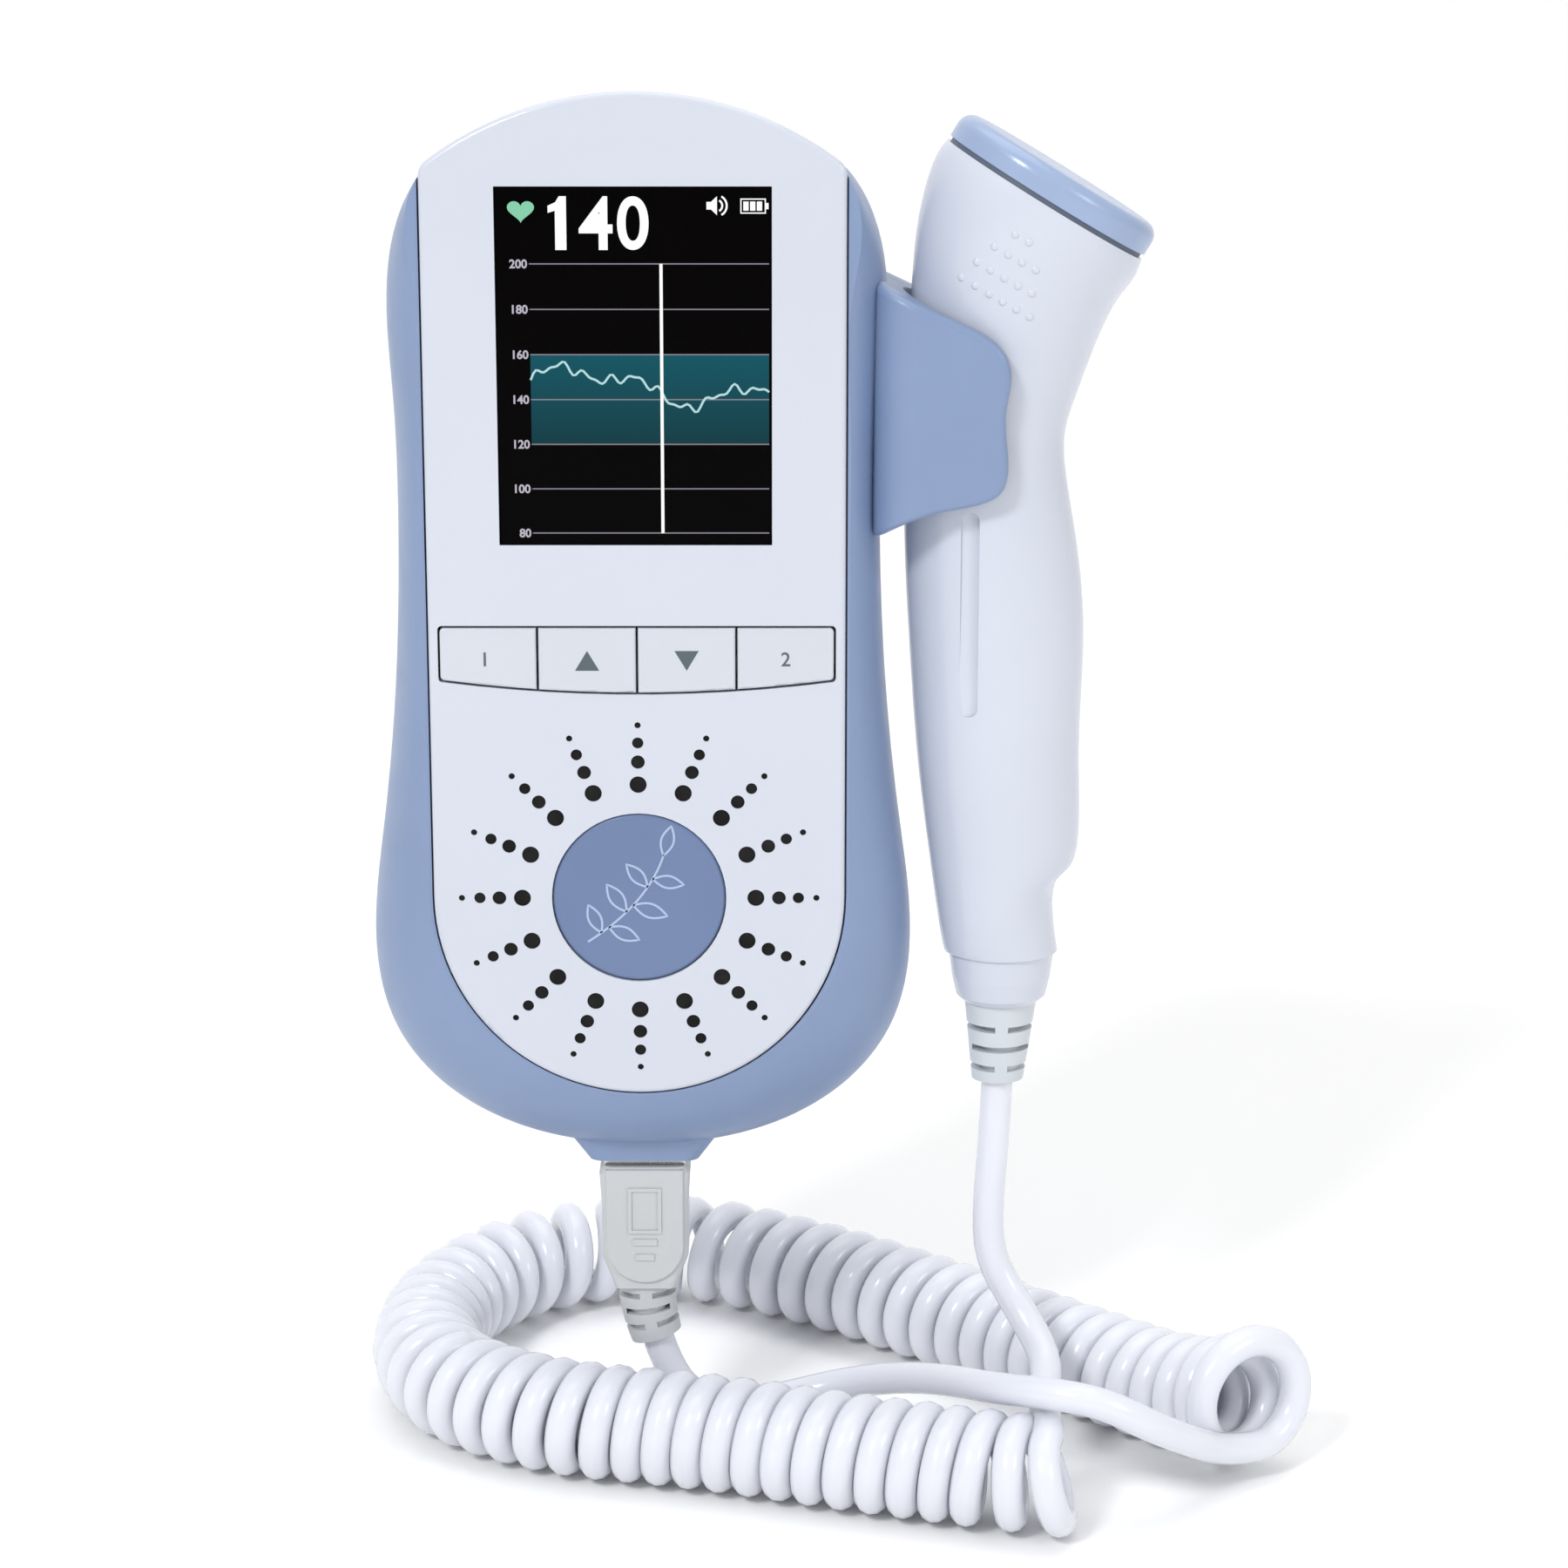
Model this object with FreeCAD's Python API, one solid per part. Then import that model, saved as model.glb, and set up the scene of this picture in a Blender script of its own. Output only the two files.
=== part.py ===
import FreeCAD, Part
import math
import os

# Hand-held fetal doppler: main unit, probe in its side clip, and the curly cord between them.
# Millimetres. x to the right, y to the back, z up. The origin is on the flat back of the unit,
# and the unit and the probe are upright, with the cord laid on a level surface below them.

Vector = FreeCAD.Vector
os.makedirs("parts", exist_ok=True)

# ---- casing ----
BACK_Y = 0.0                 # flat back of the unit
SPLIT_Y = -15.0              # plane where the two casing halves meet
RIM_DROP = 0.7               # how far the blue rim lies behind the panel's front
BROW = 11.45                 # from the screen's upper edge to the top of the casing
TOP_ARC_R = 46.3             # radius of the arched top
SHOULDER_Z = 66.0
SHOULDER_OUT = 5.8           # how far the casing stands out beyond the panel's side, at the shoulder,
WAIST_Z = 36.0
WAIST_OUT = 4.9              # at the waist
HIP_Z = -26.0
HIP_OUT = 9.6                # and at the hip
BOTTOM_Z = -56.4
BOTTOM_POWER = 2.2           # how square the round bottom is; 2 is an ellipse
CROWN = 1.04                 # how far the curve of the crowned sides runs past their edge
RIM_FADE_Z = 85.0            # above this height the blue sides stay upright
RIM_FADE_H = 14.0            # height over which they start to lean in
WALL = 2.2                   # casing wall
BACK_INSET = 5.6             # how far the flat back lies inside the widest outline
RIM_WIDTH = 0.6              # blue rim beside the panel at its narrowest

# ---- white front panel ----
PANEL_FRONT_Y = -29.0
PANEL_T = 2.6
PANEL_RISE = 1.0             # how far the panel stands up above the casing
PANEL_CORNER_R = 2.6
PANEL_EDGE_R = 0.7
PANEL_GAP = 0.25             # gap between the panel and the rim
LEDGE = 1.0                  # how far the casing's ledge reaches under the panel
LEDGE_T = 1.8
POST_R = 2.0                 # posts on the panel's back that carry the board
POST_GAP = 0.3               # between the posts and the display's frame
POST_ROOM = 0.8              # between the posts and the casing's ledge
POST_Z = (29.5, 75.0)

# ---- screen ----
SCREEN_HALF = 18.4
SCREEN_Z = 57.5
SCREEN_H = 48.1
WINDOW_GAP = 0.1
WINDOW_RECESS = 0.1
WINDOW_CHAMFER = 0.2
DISPLAY_HALF = 21.2
DISPLAY_HEAD = 0.9           # how far the display reaches above its picture
DISPLAY_TAIL = 5.0           # and below it
DISPLAY_T = 2.4
DISPLAY_GLASS_T = 1.4
DISPLAY_TRAY_INSET = 0.4
DISPLAY_FRAME_WALL = 1.2
DISPLAY_FRAME_LIP = 3.0      # how far the frame reaches in behind the display

# ---- keys ----
KEY_COUNT = 4
KEY_TOP_Z = 22.2
KEY_ROW_INSET = 1.3          # from the panel's side to the key row's end
KEY_END_H = 7.8              # key height at the ends of the row
KEY_SAG = 1.8                # how much lower the middle of the row's bottom edge is
KEY_CORNER_R = 0.6
KEY_GAP = 0.3                # gap round each key
KEY_PROUD = 0.3
KEY_EDGE_R = 0.35
KEY_LIP = 0.9                # lip that stops the key from falling out
KEY_LIP_T = 0.8
KEY_TRAVEL = 0.4
MAT_T = 0.8

# ---- board ----
BOARD_T = 1.6
BOARD_EDGE = 1.3             # from the posts' middle to the board's side
BOARD_FOOT = 9.35            # how far the board reaches below the battery tray
BOARD_TOP_Z = 81.0
BOARD_CORNER = 5.0
BOARD_SCREW_R = 0.9
BOARD_SCREW_HEAD_R = 1.8
BOARD_SCREW_HEAD_T = 1.0
BOARD_SCREW_L = 5.5
BOARD_SCREW_SLOT_W = 0.4
BOARD_SCREW_SLOT_DEPTH = 0.4
SCREW_FIT = 0.1              # gap round a screw in the piece that it passes through
# Processor, memory, filter, driver, regulator and socket for the speaker's lead: middle x, height
# above the board's lower edge, width, height and depth. The last three are below the battery tray.
CHIPS = ((0.0, 49.0, 12.0, 12.0, 1.0), (-14.0, 47.0, 8.0, 6.0, 0.9), (13.0, 51.0, 5.0, 9.0, 0.9),
         (-12.0, 4.6, 7.0, 6.0, 3.0), (2.0, 4.2, 9.0, 5.0, 2.4), (15.0, 4.6, 6.0, 6.0, 4.0))
SWITCH_SIDE = 6.0
SWITCH_H = 3.2               # with its plunger
SWITCH_PLUNGER_R = 1.7
SWITCH_PLUNGER_H = 0.6

# ---- speaker ----
SPEAKER_KEY_GAP = 1.6        # from the keys' lips to the speaker
SPEAKER_ROOM = 1.1           # between the speaker and the casing's ledge
RAY_COUNT = 16
RAY_HOLES = ((10.2, 1.18), (7.0, 0.95), (4.3, 0.78), (1.8, 0.43))   # in from the speaker's edge, hole radius
DISC_R = 12.0
DISC_T = 1.5
DISC_RECESS = 0.2
DISC_GAP = 0.1
DISC_EDGE_R = 0.5
GASKET_WIDTH = 1.2
GASKET_T = 1.0
BASKET_DEPTH = 9.0
BASKET_BACK_R = 12.6
BASKET_WALL = 1.0
BASKET_WINDOWS = 6
BASKET_WINDOW_W = 8.0
BASKET_BAR = 1.7             # solid band left before and behind the windows
CONE_T = 0.5
CONE_RISE = 0.2              # how far the cone's edge lies behind the flange's front
VOICE_COIL_R = 6.0
VOICE_COIL_L = 1.4
DUST_CAP_T = 1.0
MAGNET_R = 11.5
MAGNET_T = 5.5
YOKE_PLATE_T = 1.2
YOKE_PLATE_INSET = 0.8

# ---- battery bay ----
CELL_R = 7.1
CELL_L = 50.5
CELL_PITCH = 15.2
CELL_COUNT = 3
CELL_NUB_R = 2.75
CELL_NUB_H = 1.0
CELL_MID_Z = 49.5
CONTACT_T = 0.8
CONTACT_HALF = 5.5
BRIDGE_HALF = 2.5            # half depth of the strip that joins two contacts
BAY_WALL = 1.3
BAY_GAP = 0.1                # gap in front of the cells
BAY_SIDE_GAP = 0.5
BAY_END_GAP = 0.4
DOOR_T = 1.7
DOOR_GAP = 0.3
DOOR_LAP = 1.4               # how far the door laps over the edge of the bay
TAB_W = 3.0
TAB_REACH = 1.9
TAB_T = 1.3
TAB_STEM = 1.6               # how thick the tab's foot on the door is
TAB_GAP = 0.4
TAB_SWING_ROOM = 1.4         # room in front of the tab, so that the door can tilt out
TAB_END_ROOM = 0.7
DOOR_CORNER_R = 0.9
LATCH_W = 8.0
LATCH_T = 1.2
LATCH_H = 1.4
GRIP_RIBS = 4
GRIP_W = 14.0
GRIP_GROOVE_H = 0.8
GRIP_GROOVE_DEPTH = 0.5
GRIP_PITCH = 2.0
GRIP_START = 5.0             # height of the first groove above the door's lower edge

# ---- screws through the casing ----
SCREW_TOP = (12.0, 82.4)
LOWER_SCREW_ANGLE = 39.38    # below level, seen from the speaker's middle
LOWER_SCREW_GAP = 1.45       # from the speaker to the lower columns
SCREW_R = 1.25
SCREW_HEAD_R = 2.3
SCREW_HEAD_T = 1.7
SCREW_SINK = 0.9             # how deep the head lies below the back
SCREW_SLOT = 0.5
SCREW_CROSS_HALF = 1.4
SCREW_CROSS_DEPTH = 0.9
SCREW_END_ROOM = 0.6
COLUMN_R = 3.2
COLUMN_RIB_T = 2.0
TOP_COLUMN_REACH = 3.6       # how far the upper columns reach past the split
PANEL_CLEAR = 1.0            # gap between the lower columns and the panel

# ---- connector under the unit ----
BOSS_TOP_HALF = 12.4
BOSS_END_HALF = 7.9
BOSS_TOP_DEPTH = 11.95
BOSS_END_DEPTH = 9.2
BOSS_RISE = 4.6              # how far the boss reaches up into the casing
BOSS_DROP = 1.85             # and down out of it
BOSS_CORNER_R = 2.2
SOCKET_HALF = 6.0
SOCKET_HALF_DEPTH = 3.0
SOCKET_WALL = 0.6
SOCKET_DEPTH = 9.0
SOCKET_BACK_T = 1.5
SOCKET_INSET = 0.3           # how far the socket's mouth lies up inside the boss
SOCKET_GAP = 0.1
TONGUE_INSET = 1.4
TONGUE_HALF_T = 0.8
TONGUE_DROP = 2.0            # how far the tongue's edge lies inside the mouth
PLUG_FIT = 0.15
PLUG_SHELL_T = 0.5
PLUG_SHELL_FLOOR = 0.9
PLUG_SHELL_END_ROOM = 0.7
PLUG_GAP = 1.1               # dark gap between the boss and the plug's body
PLUG_TOP_HALF = 5.7
PLUG_HALF = 6.55
PLUG_END_HALF = 6.25
PLUG_SHOULDER_L = 1.1
PLUG_FOOT_HALF = 4.4
PLUG_TAPER_L = 6.0
PLUG_FOOT_L = 5.0
PLUG_DEPTH = 8.4
PLUG_L = 18.6
PLUG_EDGE_R = 1.0
SHIELD_HALF = 5.6
SHIELD_L = 17.6
SHIELD_H = 0.5
SHIELD_TOP = 0.3             # distances below the plug's upper end
FRAME_TOP = 3.0
FRAME_END = 9.9
FRAME_HALF = 2.4
BARS = ((10.8, 1.75), (13.1, 1.35))    # distance below the plug's upper end, half width
BAR_H = 0.9
MARK_LINE = 0.5
MARK_H = 0.25
PLUG_RELIEF_RINGS = ((0.0, 0.0, 4.3, 3.6), (0.35, 0.45, 4.1, 3.5))   # x, share of length, half sizes
PLUG_RELIEF_END = (3.75, 3.4)
PLUG_RELIEF_ROWS = (0.18, 0.46, 0.73)

# ---- clip on the unit's right side ----
PROBE_Y = -14.5              # middle plane of the probe and its clip
PROBE_STANDOFF = 3.5         # from the waist to the left side of the probe's handle
CLIP_BORE_X = 12.1           # from the handle's left side to the middle of the clip's round
CLIP_SIDE_GAP = 0.5
CLIP_FACE_GAP = 1.5
CLIP_WALL = 2.2
CLIP_ROOT = 1.4              # how far the clip's root reaches into the casing's side
CLIP_CORNER_R = 6.5
CLIP_RIM_R = 0.9             # rounding of the rims' outer edge
CLIP_BOTTOM_Z = 32.0
# Edge of the clip's fingers: distance from the root and height above the clip's lower end.
CLIP_EDGE = ((0.0, 37.2), (3.7, 34.9), (8.0, 32.8), (13.4, 30.4), (17.2, 27.9), (18.7, 24.8), (18.1, 19.0),
             (18.5, 12.4), (17.6, 8.2), (14.0, 6.4), (8.5, 5.3), (4.0, 3.5), (0.0, 0.0))

# ---- probe ----
# Cross-sections from the collar up to the cap's seam: left point, right point and half depth. Each
# point is its distance from the handle's left side, and its height.
PROBE_OUTLINE = (
    ((6.3, -27.8), (22.3, -27.8), 7.4), ((4.1, -15.5), (24.1, -15.0), 8.9),
    ((2.1, 0.0), (24.9, 0.5), 9.8), ((0.8, 16.5), (25.2, 18.0), 10.2),
    ((0.0, 31.5), (23.8, 32.5), 10.1), ((0.0, 46.0), (22.0, 45.0), 9.8),
    ((0.4, 59.0), (23.4, 51.5), 10.1), ((0.9, 70.0), (26.3, 59.6), 11.7),
    ((2.3, 79.6), (29.5, 65.9), 13.6), ((5.5, 86.7), (32.1, 70.6), 14.3))
PROBE_WALL = 2.0
CAP_T = 4.7
CAP_EDGE_R = 2.1
CAP_ROOM = 2.6
SEAL_T = 0.7
SEAL_INSET = 0.45
CRYSTAL_R = 9.5
CRYSTAL_T = 1.0
CRYSTAL_SPLIT = 0.8
BACKING_R = 10.8
BACKING_T = 4.0
PROBE_BOARD_HALF = 4.5
PROBE_BOARD_T = 1.2
PROBE_BOARD_GAP = 0.3        # beside the board, in the ribs
PROBE_BOARD_Z = (-20.0, 48.0)
RIB_Z = (-8.0, 38.0)
RIB_T = 1.6
GROOVE_FROM_LEFT = 8.7       # from the handle's left side
GROOVE_Z = (8.2, 37.0)
GROOVE_W = 2.5
GROOVE_FLOOR = 9.0           # from the probe's middle plane to the groove's floor
COLLAR_L = 7.5
COLLAR_RINGS = ((0.0, 7.5), (0.5, 7.05), (0.88, 6.4), (1.0, 5.4))      # share of length, half width
COLLAR_ROUND = 0.92          # depth over width
RELIEF_TOP = (5.15, 4.4)     # half width and half depth
RELIEF_END = (3.7, 3.4)
RELIEF_L = 11.8
RELIEF_LEAN = 0.3
RELIEF_ROWS = (0.31, 0.57, 0.82)       # places of the slots, as shares of the relief's length
SLOT_H = 0.9
SLOT_SPINE = 0.9             # half width of the spine between two slots side by side
SLOT_EDGE = 1.1              # wall left beside a wide slot
CORE_R = 2.8                 # round core that no slot cuts

FAR = 150.0                  # longer than any piece, for cuts that pass right through
WELD = 0.2                   # overlap of solids that are joined into one

# ---- cord ----
CABLE_R = 2.3
COIL_R = 8.5                 # outer radius of the curly part
TRIM = 0.45                  # share of the shorter run that each arc takes
PLUG_ROUTE = (
    (1.4, -15.0, -86.4), (2.8, -14.9, -91.2), (6.2, -14.3, -96.4), (12.2, -13.2, -99.2),
    (19.8, -11.6, -97.6), (28.5, -10.9, -94.6), (36.5, -16.5, -91.9), (43.6, -26.5, -89.0),
    (50.0, -36.2, -86.3), (56.8, -43.2, -84.0), (64.4, -45.2, -84.6), (71.5, -42.8, -89.2),
    (77.0, -37.8, -94.6), (81.8, -31.2, -98.6), (87.7, -27.7, -99.0))
PROBE_ROUTE = (
    (50.9, -14.5, -47.4), (50.7, -14.6, -56.0), (49.9, -14.4, -66.0), (50.2, -14.8, -75.0),
    (53.2, -17.6, -83.0), (57.2, -25.0, -88.0), (59.6, -34.5, -89.4), (60.0, -44.0, -89.3))
COIL_ROUTE = (
    (87.7, -27.7, -91.6), (80.6, -19.4, -95.3), (65.5, -4.2, -95.5), (47.3, 13.2, -95.5),
    (26.0, 32.0, -95.5), (2.0, 46.5, -95.5), (-21.0, 38.5, -95.5), (-34.5, 17.0, -95.5),
    (-33.5, -9.0, -95.5), (-16.0, -24.5, -95.5), (9.0, -29.8, -95.5), (36.0, -39.5, -95.5),
    (62.0, -45.5, -95.5))

# ---- places worked out from the sizes above ----
POST_X = DISPLAY_HALF + DISPLAY_FRAME_WALL + POST_GAP + POST_R
BOARD_HALF = POST_X + BOARD_EDGE
PANEL_HALF = POST_X + POST_R + POST_ROOM + LEDGE
SHOULDER_HALF = PANEL_HALF + SHOULDER_OUT
WAIST_HALF = PANEL_HALF + WAIST_OUT
HIP_HALF = PANEL_HALF + HIP_OUT
KEY_ROW_HALF = PANEL_HALF - KEY_ROW_INSET
SPEAKER_R = PANEL_HALF - LEDGE - SPEAKER_ROOM
SPEAKER_Z = KEY_TOP_Z - KEY_END_H - KEY_SAG - KEY_LIP - SPEAKER_KEY_GAP - SPEAKER_R
SCREEN_TOP_Z = SCREEN_Z + SCREEN_H / 2
SCREEN_BOTTOM_Z = SCREEN_Z - SCREEN_H / 2
TOP_Z = SCREEN_TOP_Z + BROW
PANEL_TOP_Z = TOP_Z + PANEL_RISE
RIM_Y = PANEL_FRONT_Y + RIM_DROP
PANEL_BACK_Y = PANEL_FRONT_Y + PANEL_T
LEDGE_BACK_Y = PANEL_BACK_Y + LEDGE_T
KEY_LIP_FRONT_Y = PANEL_BACK_Y + KEY_GAP
KEY_BACK_Y = KEY_LIP_FRONT_Y + KEY_LIP_T
MAT_FRONT_Y = KEY_BACK_Y + KEY_TRAVEL + KEY_GAP
MAT_BACK_Y = MAT_FRONT_Y + MAT_T
BOARD_FRONT_Y = MAT_BACK_Y + SWITCH_H
BOARD_BACK_Y = BOARD_FRONT_Y + BOARD_T
SPEAKER_FLANGE_Y = PANEL_BACK_Y + GASKET_T
BASKET_FRONT_Y = SPEAKER_FLANGE_Y + BASKET_WALL
BASKET_BACK_Y = BASKET_FRONT_Y + BASKET_DEPTH
DISPLAY_BOTTOM_Z = SCREEN_BOTTOM_Z - DISPLAY_TAIL
DISPLAY_TOP_Z = SCREEN_TOP_Z + DISPLAY_HEAD
CELL_Y = BACK_Y - DOOR_T - DOOR_GAP - CELL_R
BAY_HALF = CELL_PITCH * (CELL_COUNT - 1) / 2 + CELL_R + BAY_SIDE_GAP
BAY_BOTTOM_Z = CELL_MID_Z - CELL_L / 2 - CONTACT_T - BAY_END_GAP
BAY_TOP_Z = CELL_MID_Z + CELL_L / 2 + CONTACT_T + BAY_END_GAP
BAY_FRONT_Y = CELL_Y - CELL_R - BAY_GAP
RECESS_HALF = BAY_HALF + DOOR_LAP
RECESS_BOTTOM_Z = BAY_BOTTOM_Z - DOOR_LAP
RECESS_TOP_Z = BAY_TOP_Z + DOOR_LAP
BOARD_BOTTOM_Z = RECESS_BOTTOM_Z - BAY_WALL - BOARD_FOOT
DOOR_TOP_Z = RECESS_TOP_Z - DOOR_GAP
DOOR_BOTTOM_Z = RECESS_BOTTOM_Z + DOOR_GAP
DOOR_INNER_Y = BACK_Y - DOOR_T
DOOR_SEAT_Y = DOOR_INNER_Y - DOOR_GAP
SCREW_SEAT_Y = BACK_Y - SCREW_SINK - SCREW_HEAD_T
LOWER_SCREW_REACH = SPEAKER_R + LOWER_SCREW_GAP + COLUMN_R
SCREW_BOTTOM = (LOWER_SCREW_REACH * math.cos(math.radians(LOWER_SCREW_ANGLE)),
                SPEAKER_Z - LOWER_SCREW_REACH * math.sin(math.radians(LOWER_SCREW_ANGLE)))
BOSS_START_Z = BOTTOM_Z + BOSS_RISE
BOSS_END_Z = BOTTOM_Z - BOSS_DROP
SOCKET_Y = SPLIT_Y
SOCKET_MOUTH_Z = BOSS_END_Z + SOCKET_INSET
SOCKET_TOP_Z = SOCKET_MOUTH_Z + SOCKET_DEPTH + SOCKET_BACK_T
PLUG_TOP_Z = BOSS_END_Z - PLUG_GAP
PLUG_END_Z = PLUG_TOP_Z - PLUG_L
CLIP_ROOT_X = WAIST_HALF - CLIP_ROOT
HANDLE_X = WAIST_HALF + PROBE_STANDOFF
PROBE_SECTIONS = [((HANDLE_X + left, low), (HANDLE_X + right, high), half_depth)
                  for (left, low), (right, high), half_depth in PROBE_OUTLINE]
CLIP_X = HANDLE_X + CLIP_BORE_X
CLIP_BORE_HALF = CLIP_BORE_X + CLIP_SIDE_GAP
# The clip holds the handle at its thinnest.
CLIP_BORE_HALF_DEPTH = min(depth for (_, low), _, depth in PROBE_OUTLINE if low > CLIP_BOTTOM_Z) + CLIP_FACE_GAP


# ---------------------------------------------------------------- shared shapes

def box(x0, x1, y0, y1, z0, z1):
    return Part.makeBox(x1 - x0, y1 - y0, z1 - z0, Vector(x0, y0, z0))


def rod(x, z, radius, y0, y1):
    """Cylinder that runs from front to back."""
    return Part.makeCylinder(radius, y1 - y0, Vector(x, y0, z), Vector(0, 1, 0))


def frustum(x, z, r0, r1, y0, y1):
    return Part.makeCone(r0, r1, y1 - y0, Vector(x, y0, z), Vector(0, 1, 0))


def fuse(shapes):
    return shapes[0].multiFuse(shapes[1:]).removeSplitter()


def before(y):
    """Everything in front of the plane at y."""
    return box(-FAR, FAR, y - FAR, y, -FAR, FAR)


def behind(y):
    return box(-FAR, FAR, y, y + FAR, -FAR, FAR)


def both_sides(x):
    return (-x, x)


def closed_curve(points):
    curve = Part.BSplineCurve()
    curve.interpolate(Points=points, PeriodicFlag=True)
    return Part.Wire(curve.toShape())


def prism(wire, depth):
    return Part.Face(wire).extrude(Vector(0, depth, 0))


def mirrored(shape, axis):
    return shape.mirror(Vector(0, 0, 0), Vector(1, 0, 0) if axis == "x" else Vector(0, 1, 0))


def front_edges(shape, y):
    """Edges that lie wholly in the plane at y."""
    return [e for e in shape.Edges if abs(e.BoundBox.YMin - y) < 1e-4 and abs(e.BoundBox.YMax - y) < 1e-4]


def upright_edges(shape, length):
    """Straight edges that run from front to back over the given length."""
    return [e for e in shape.Edges if abs(e.BoundBox.YLength - length) < 1e-4
            and e.BoundBox.XLength < 1e-4 and e.BoundBox.ZLength < 1e-4]


def export(name, shape):
    shape.exportStep("parts/" + name + ".step")


# ---------------------------------------------------------------- casing outline

def arch_z(top, x):
    """Height of the arched top at x, where its middle is at top."""
    return top - TOP_ARC_R + math.sqrt(TOP_ARC_R ** 2 - x ** 2)


def right_outline():
    """Right half of the casing's widest outline, as (x, z) from the top to the bottom."""
    points = [(x, arch_z(TOP_Z, x)) for x in (0.0, 0.35 * SHOULDER_HALF, 0.64 * SHOULDER_HALF)]
    # Shares of the half width and of the height between the shoulder and the top.
    for wide, high in ((0.83, 0.63), (0.95, 0.37), (1.0, 0.0)):
        points.append((SHOULDER_HALF * wide, SHOULDER_Z + (TOP_Z - SHOULDER_Z) * high))
    points.append((WAIST_HALF + 0.3 * (SHOULDER_HALF - WAIST_HALF), (SHOULDER_Z + WAIST_Z) / 2))
    points.append((WAIST_HALF, WAIST_Z))
    # Shares of the way out and of the way down from the waist to the hip.
    for out, down in ((0.18, 0.37), (0.66, 0.72)):
        points.append((WAIST_HALF + out * (HIP_HALF - WAIST_HALF), WAIST_Z - down * (WAIST_Z - HIP_Z)))
    height = HIP_Z - BOTTOM_Z
    for degrees in (0, 22, 42, 60, 76, 90):
        angle = math.radians(degrees)
        x = HIP_HALF * abs(math.cos(angle)) ** (2 / BOTTOM_POWER)
        points.append((x, HIP_Z - height * math.sin(angle) ** (2 / BOTTOM_POWER)))
    points[-1] = (0.0, BOTTOM_Z)
    return points


def ring_outline():
    right = right_outline()
    return right + [(-x, z) for x, z in right[-2:0:-1]]


def inward(points, index):
    """Unit vector that points into the outline at one of its points."""
    (x0, z0), (x1, z1) = points[index - 1], points[(index + 1) % len(points)]
    length = math.hypot(x1 - x0, z1 - z0)
    return ((z1 - z0) / length, -(x1 - x0) / length)


def rim_room(x, z):
    """Distance from the widest outline to the blue rim beside the panel."""
    if z < SPEAKER_Z:
        return math.hypot(x, z - SPEAKER_Z) - PANEL_HALF - RIM_WIDTH
    room = abs(x) - PANEL_HALF - RIM_WIDTH
    share = min(1.0, max(0.0, (RIM_FADE_Z - z) / RIM_FADE_H))
    return max(0.0, room) * share


def casing_section(y, fraction, front, wall):
    """Closed outline at depth y: fraction 0 is the widest outline, 1 the rim or the flat back."""
    points = ring_outline()
    moved = []
    for i, (x, z) in enumerate(points):
        nx, nz = inward(points, i)
        full = rim_room(x, z) if front else BACK_INSET
        step = full * fraction + wall
        moved.append(Vector(x + nx * step, y, z + nz * step))
    return closed_curve(moved)


def casing_half(front, wall, end_y):
    """Solid half of the casing, from the split to end_y, drawn in all round by a wall."""
    flat_y = RIM_Y if front else BACK_Y
    reach = abs(flat_y - SPLIT_Y) * CROWN
    full_drop = 1 - math.sqrt(1 - 1 / CROWN ** 2)
    wires = []
    for share in (0.0, 0.3, 0.55, 0.76, 0.91, 1.0):
        y = SPLIT_Y + (end_y - SPLIT_Y) * share
        drop = 1 - math.sqrt(max(0.0, 1 - (abs(y - SPLIT_Y) / reach) ** 2))
        wires.append(casing_section(y, drop / full_drop, front, wall))
    return Part.makeLoft(wires, True)


def outer_front():
    return casing_half(True, 0.0, RIM_Y)


def outer_back():
    return casing_half(False, 0.0, BACK_Y)


# ---------------------------------------------------------------- panel outline

def panel_solid(grow, y0, y1, top=PANEL_TOP_Z):
    """Panel outline, grown by a margin, from y0 to y1: arched top, straight sides, round bottom."""
    half = PANEL_HALF + grow
    top = top + grow
    corner_z = arch_z(top, half)
    top_left, top_right = Vector(-half, y0, corner_z), Vector(half, y0, corner_z)
    low_left, low_right = Vector(-half, y0, SPEAKER_Z), Vector(half, y0, SPEAKER_Z)
    wire = Part.Wire([
        Part.Arc(top_left, Vector(0, y0, top), top_right).toShape(),
        Part.LineSegment(top_right, low_right).toShape(),
        Part.Arc(low_right, Vector(0, y0, SPEAKER_Z - half), low_left).toShape(),
        Part.LineSegment(low_left, top_left).toShape()])
    solid = prism(wire, y1 - y0)
    corners = [e for e in upright_edges(solid, y1 - y0) if e.BoundBox.ZMin > SHOULDER_Z]
    return solid.makeFillet(PANEL_CORNER_R, corners)


def key_row(margin, y0, y1):
    """The key row's outline, drawn in by a margin on all sides: straight top, sagging bottom."""
    half = KEY_ROW_HALF - margin
    top = KEY_TOP_Z - margin
    end = KEY_TOP_Z - KEY_END_H + margin
    a, b = Vector(-half, y0, top), Vector(half, y0, top)
    c, d = Vector(half, y0, end), Vector(-half, y0, end)
    wire = Part.Wire([
        Part.LineSegment(a, b).toShape(), Part.LineSegment(b, c).toShape(),
        Part.Arc(c, Vector(0, y0, end - KEY_SAG), d).toShape(), Part.LineSegment(d, a).toShape()])
    solid = prism(wire, y1 - y0)
    return solid.makeFillet(KEY_CORNER_R, upright_edges(solid, y1 - y0))


def screw_places():
    places = [(x, SCREW_TOP[1], SPLIT_Y - TOP_COLUMN_REACH) for x in both_sides(SCREW_TOP[0])]
    return places + [(x, SCREW_BOTTOM[1], PANEL_BACK_Y + PANEL_CLEAR) for x in both_sides(SCREW_BOTTOM[0])]


def post_places():
    return [(x, z) for x in both_sides(POST_X) for z in POST_Z]


# ---------------------------------------------------------------- casing pieces

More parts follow.
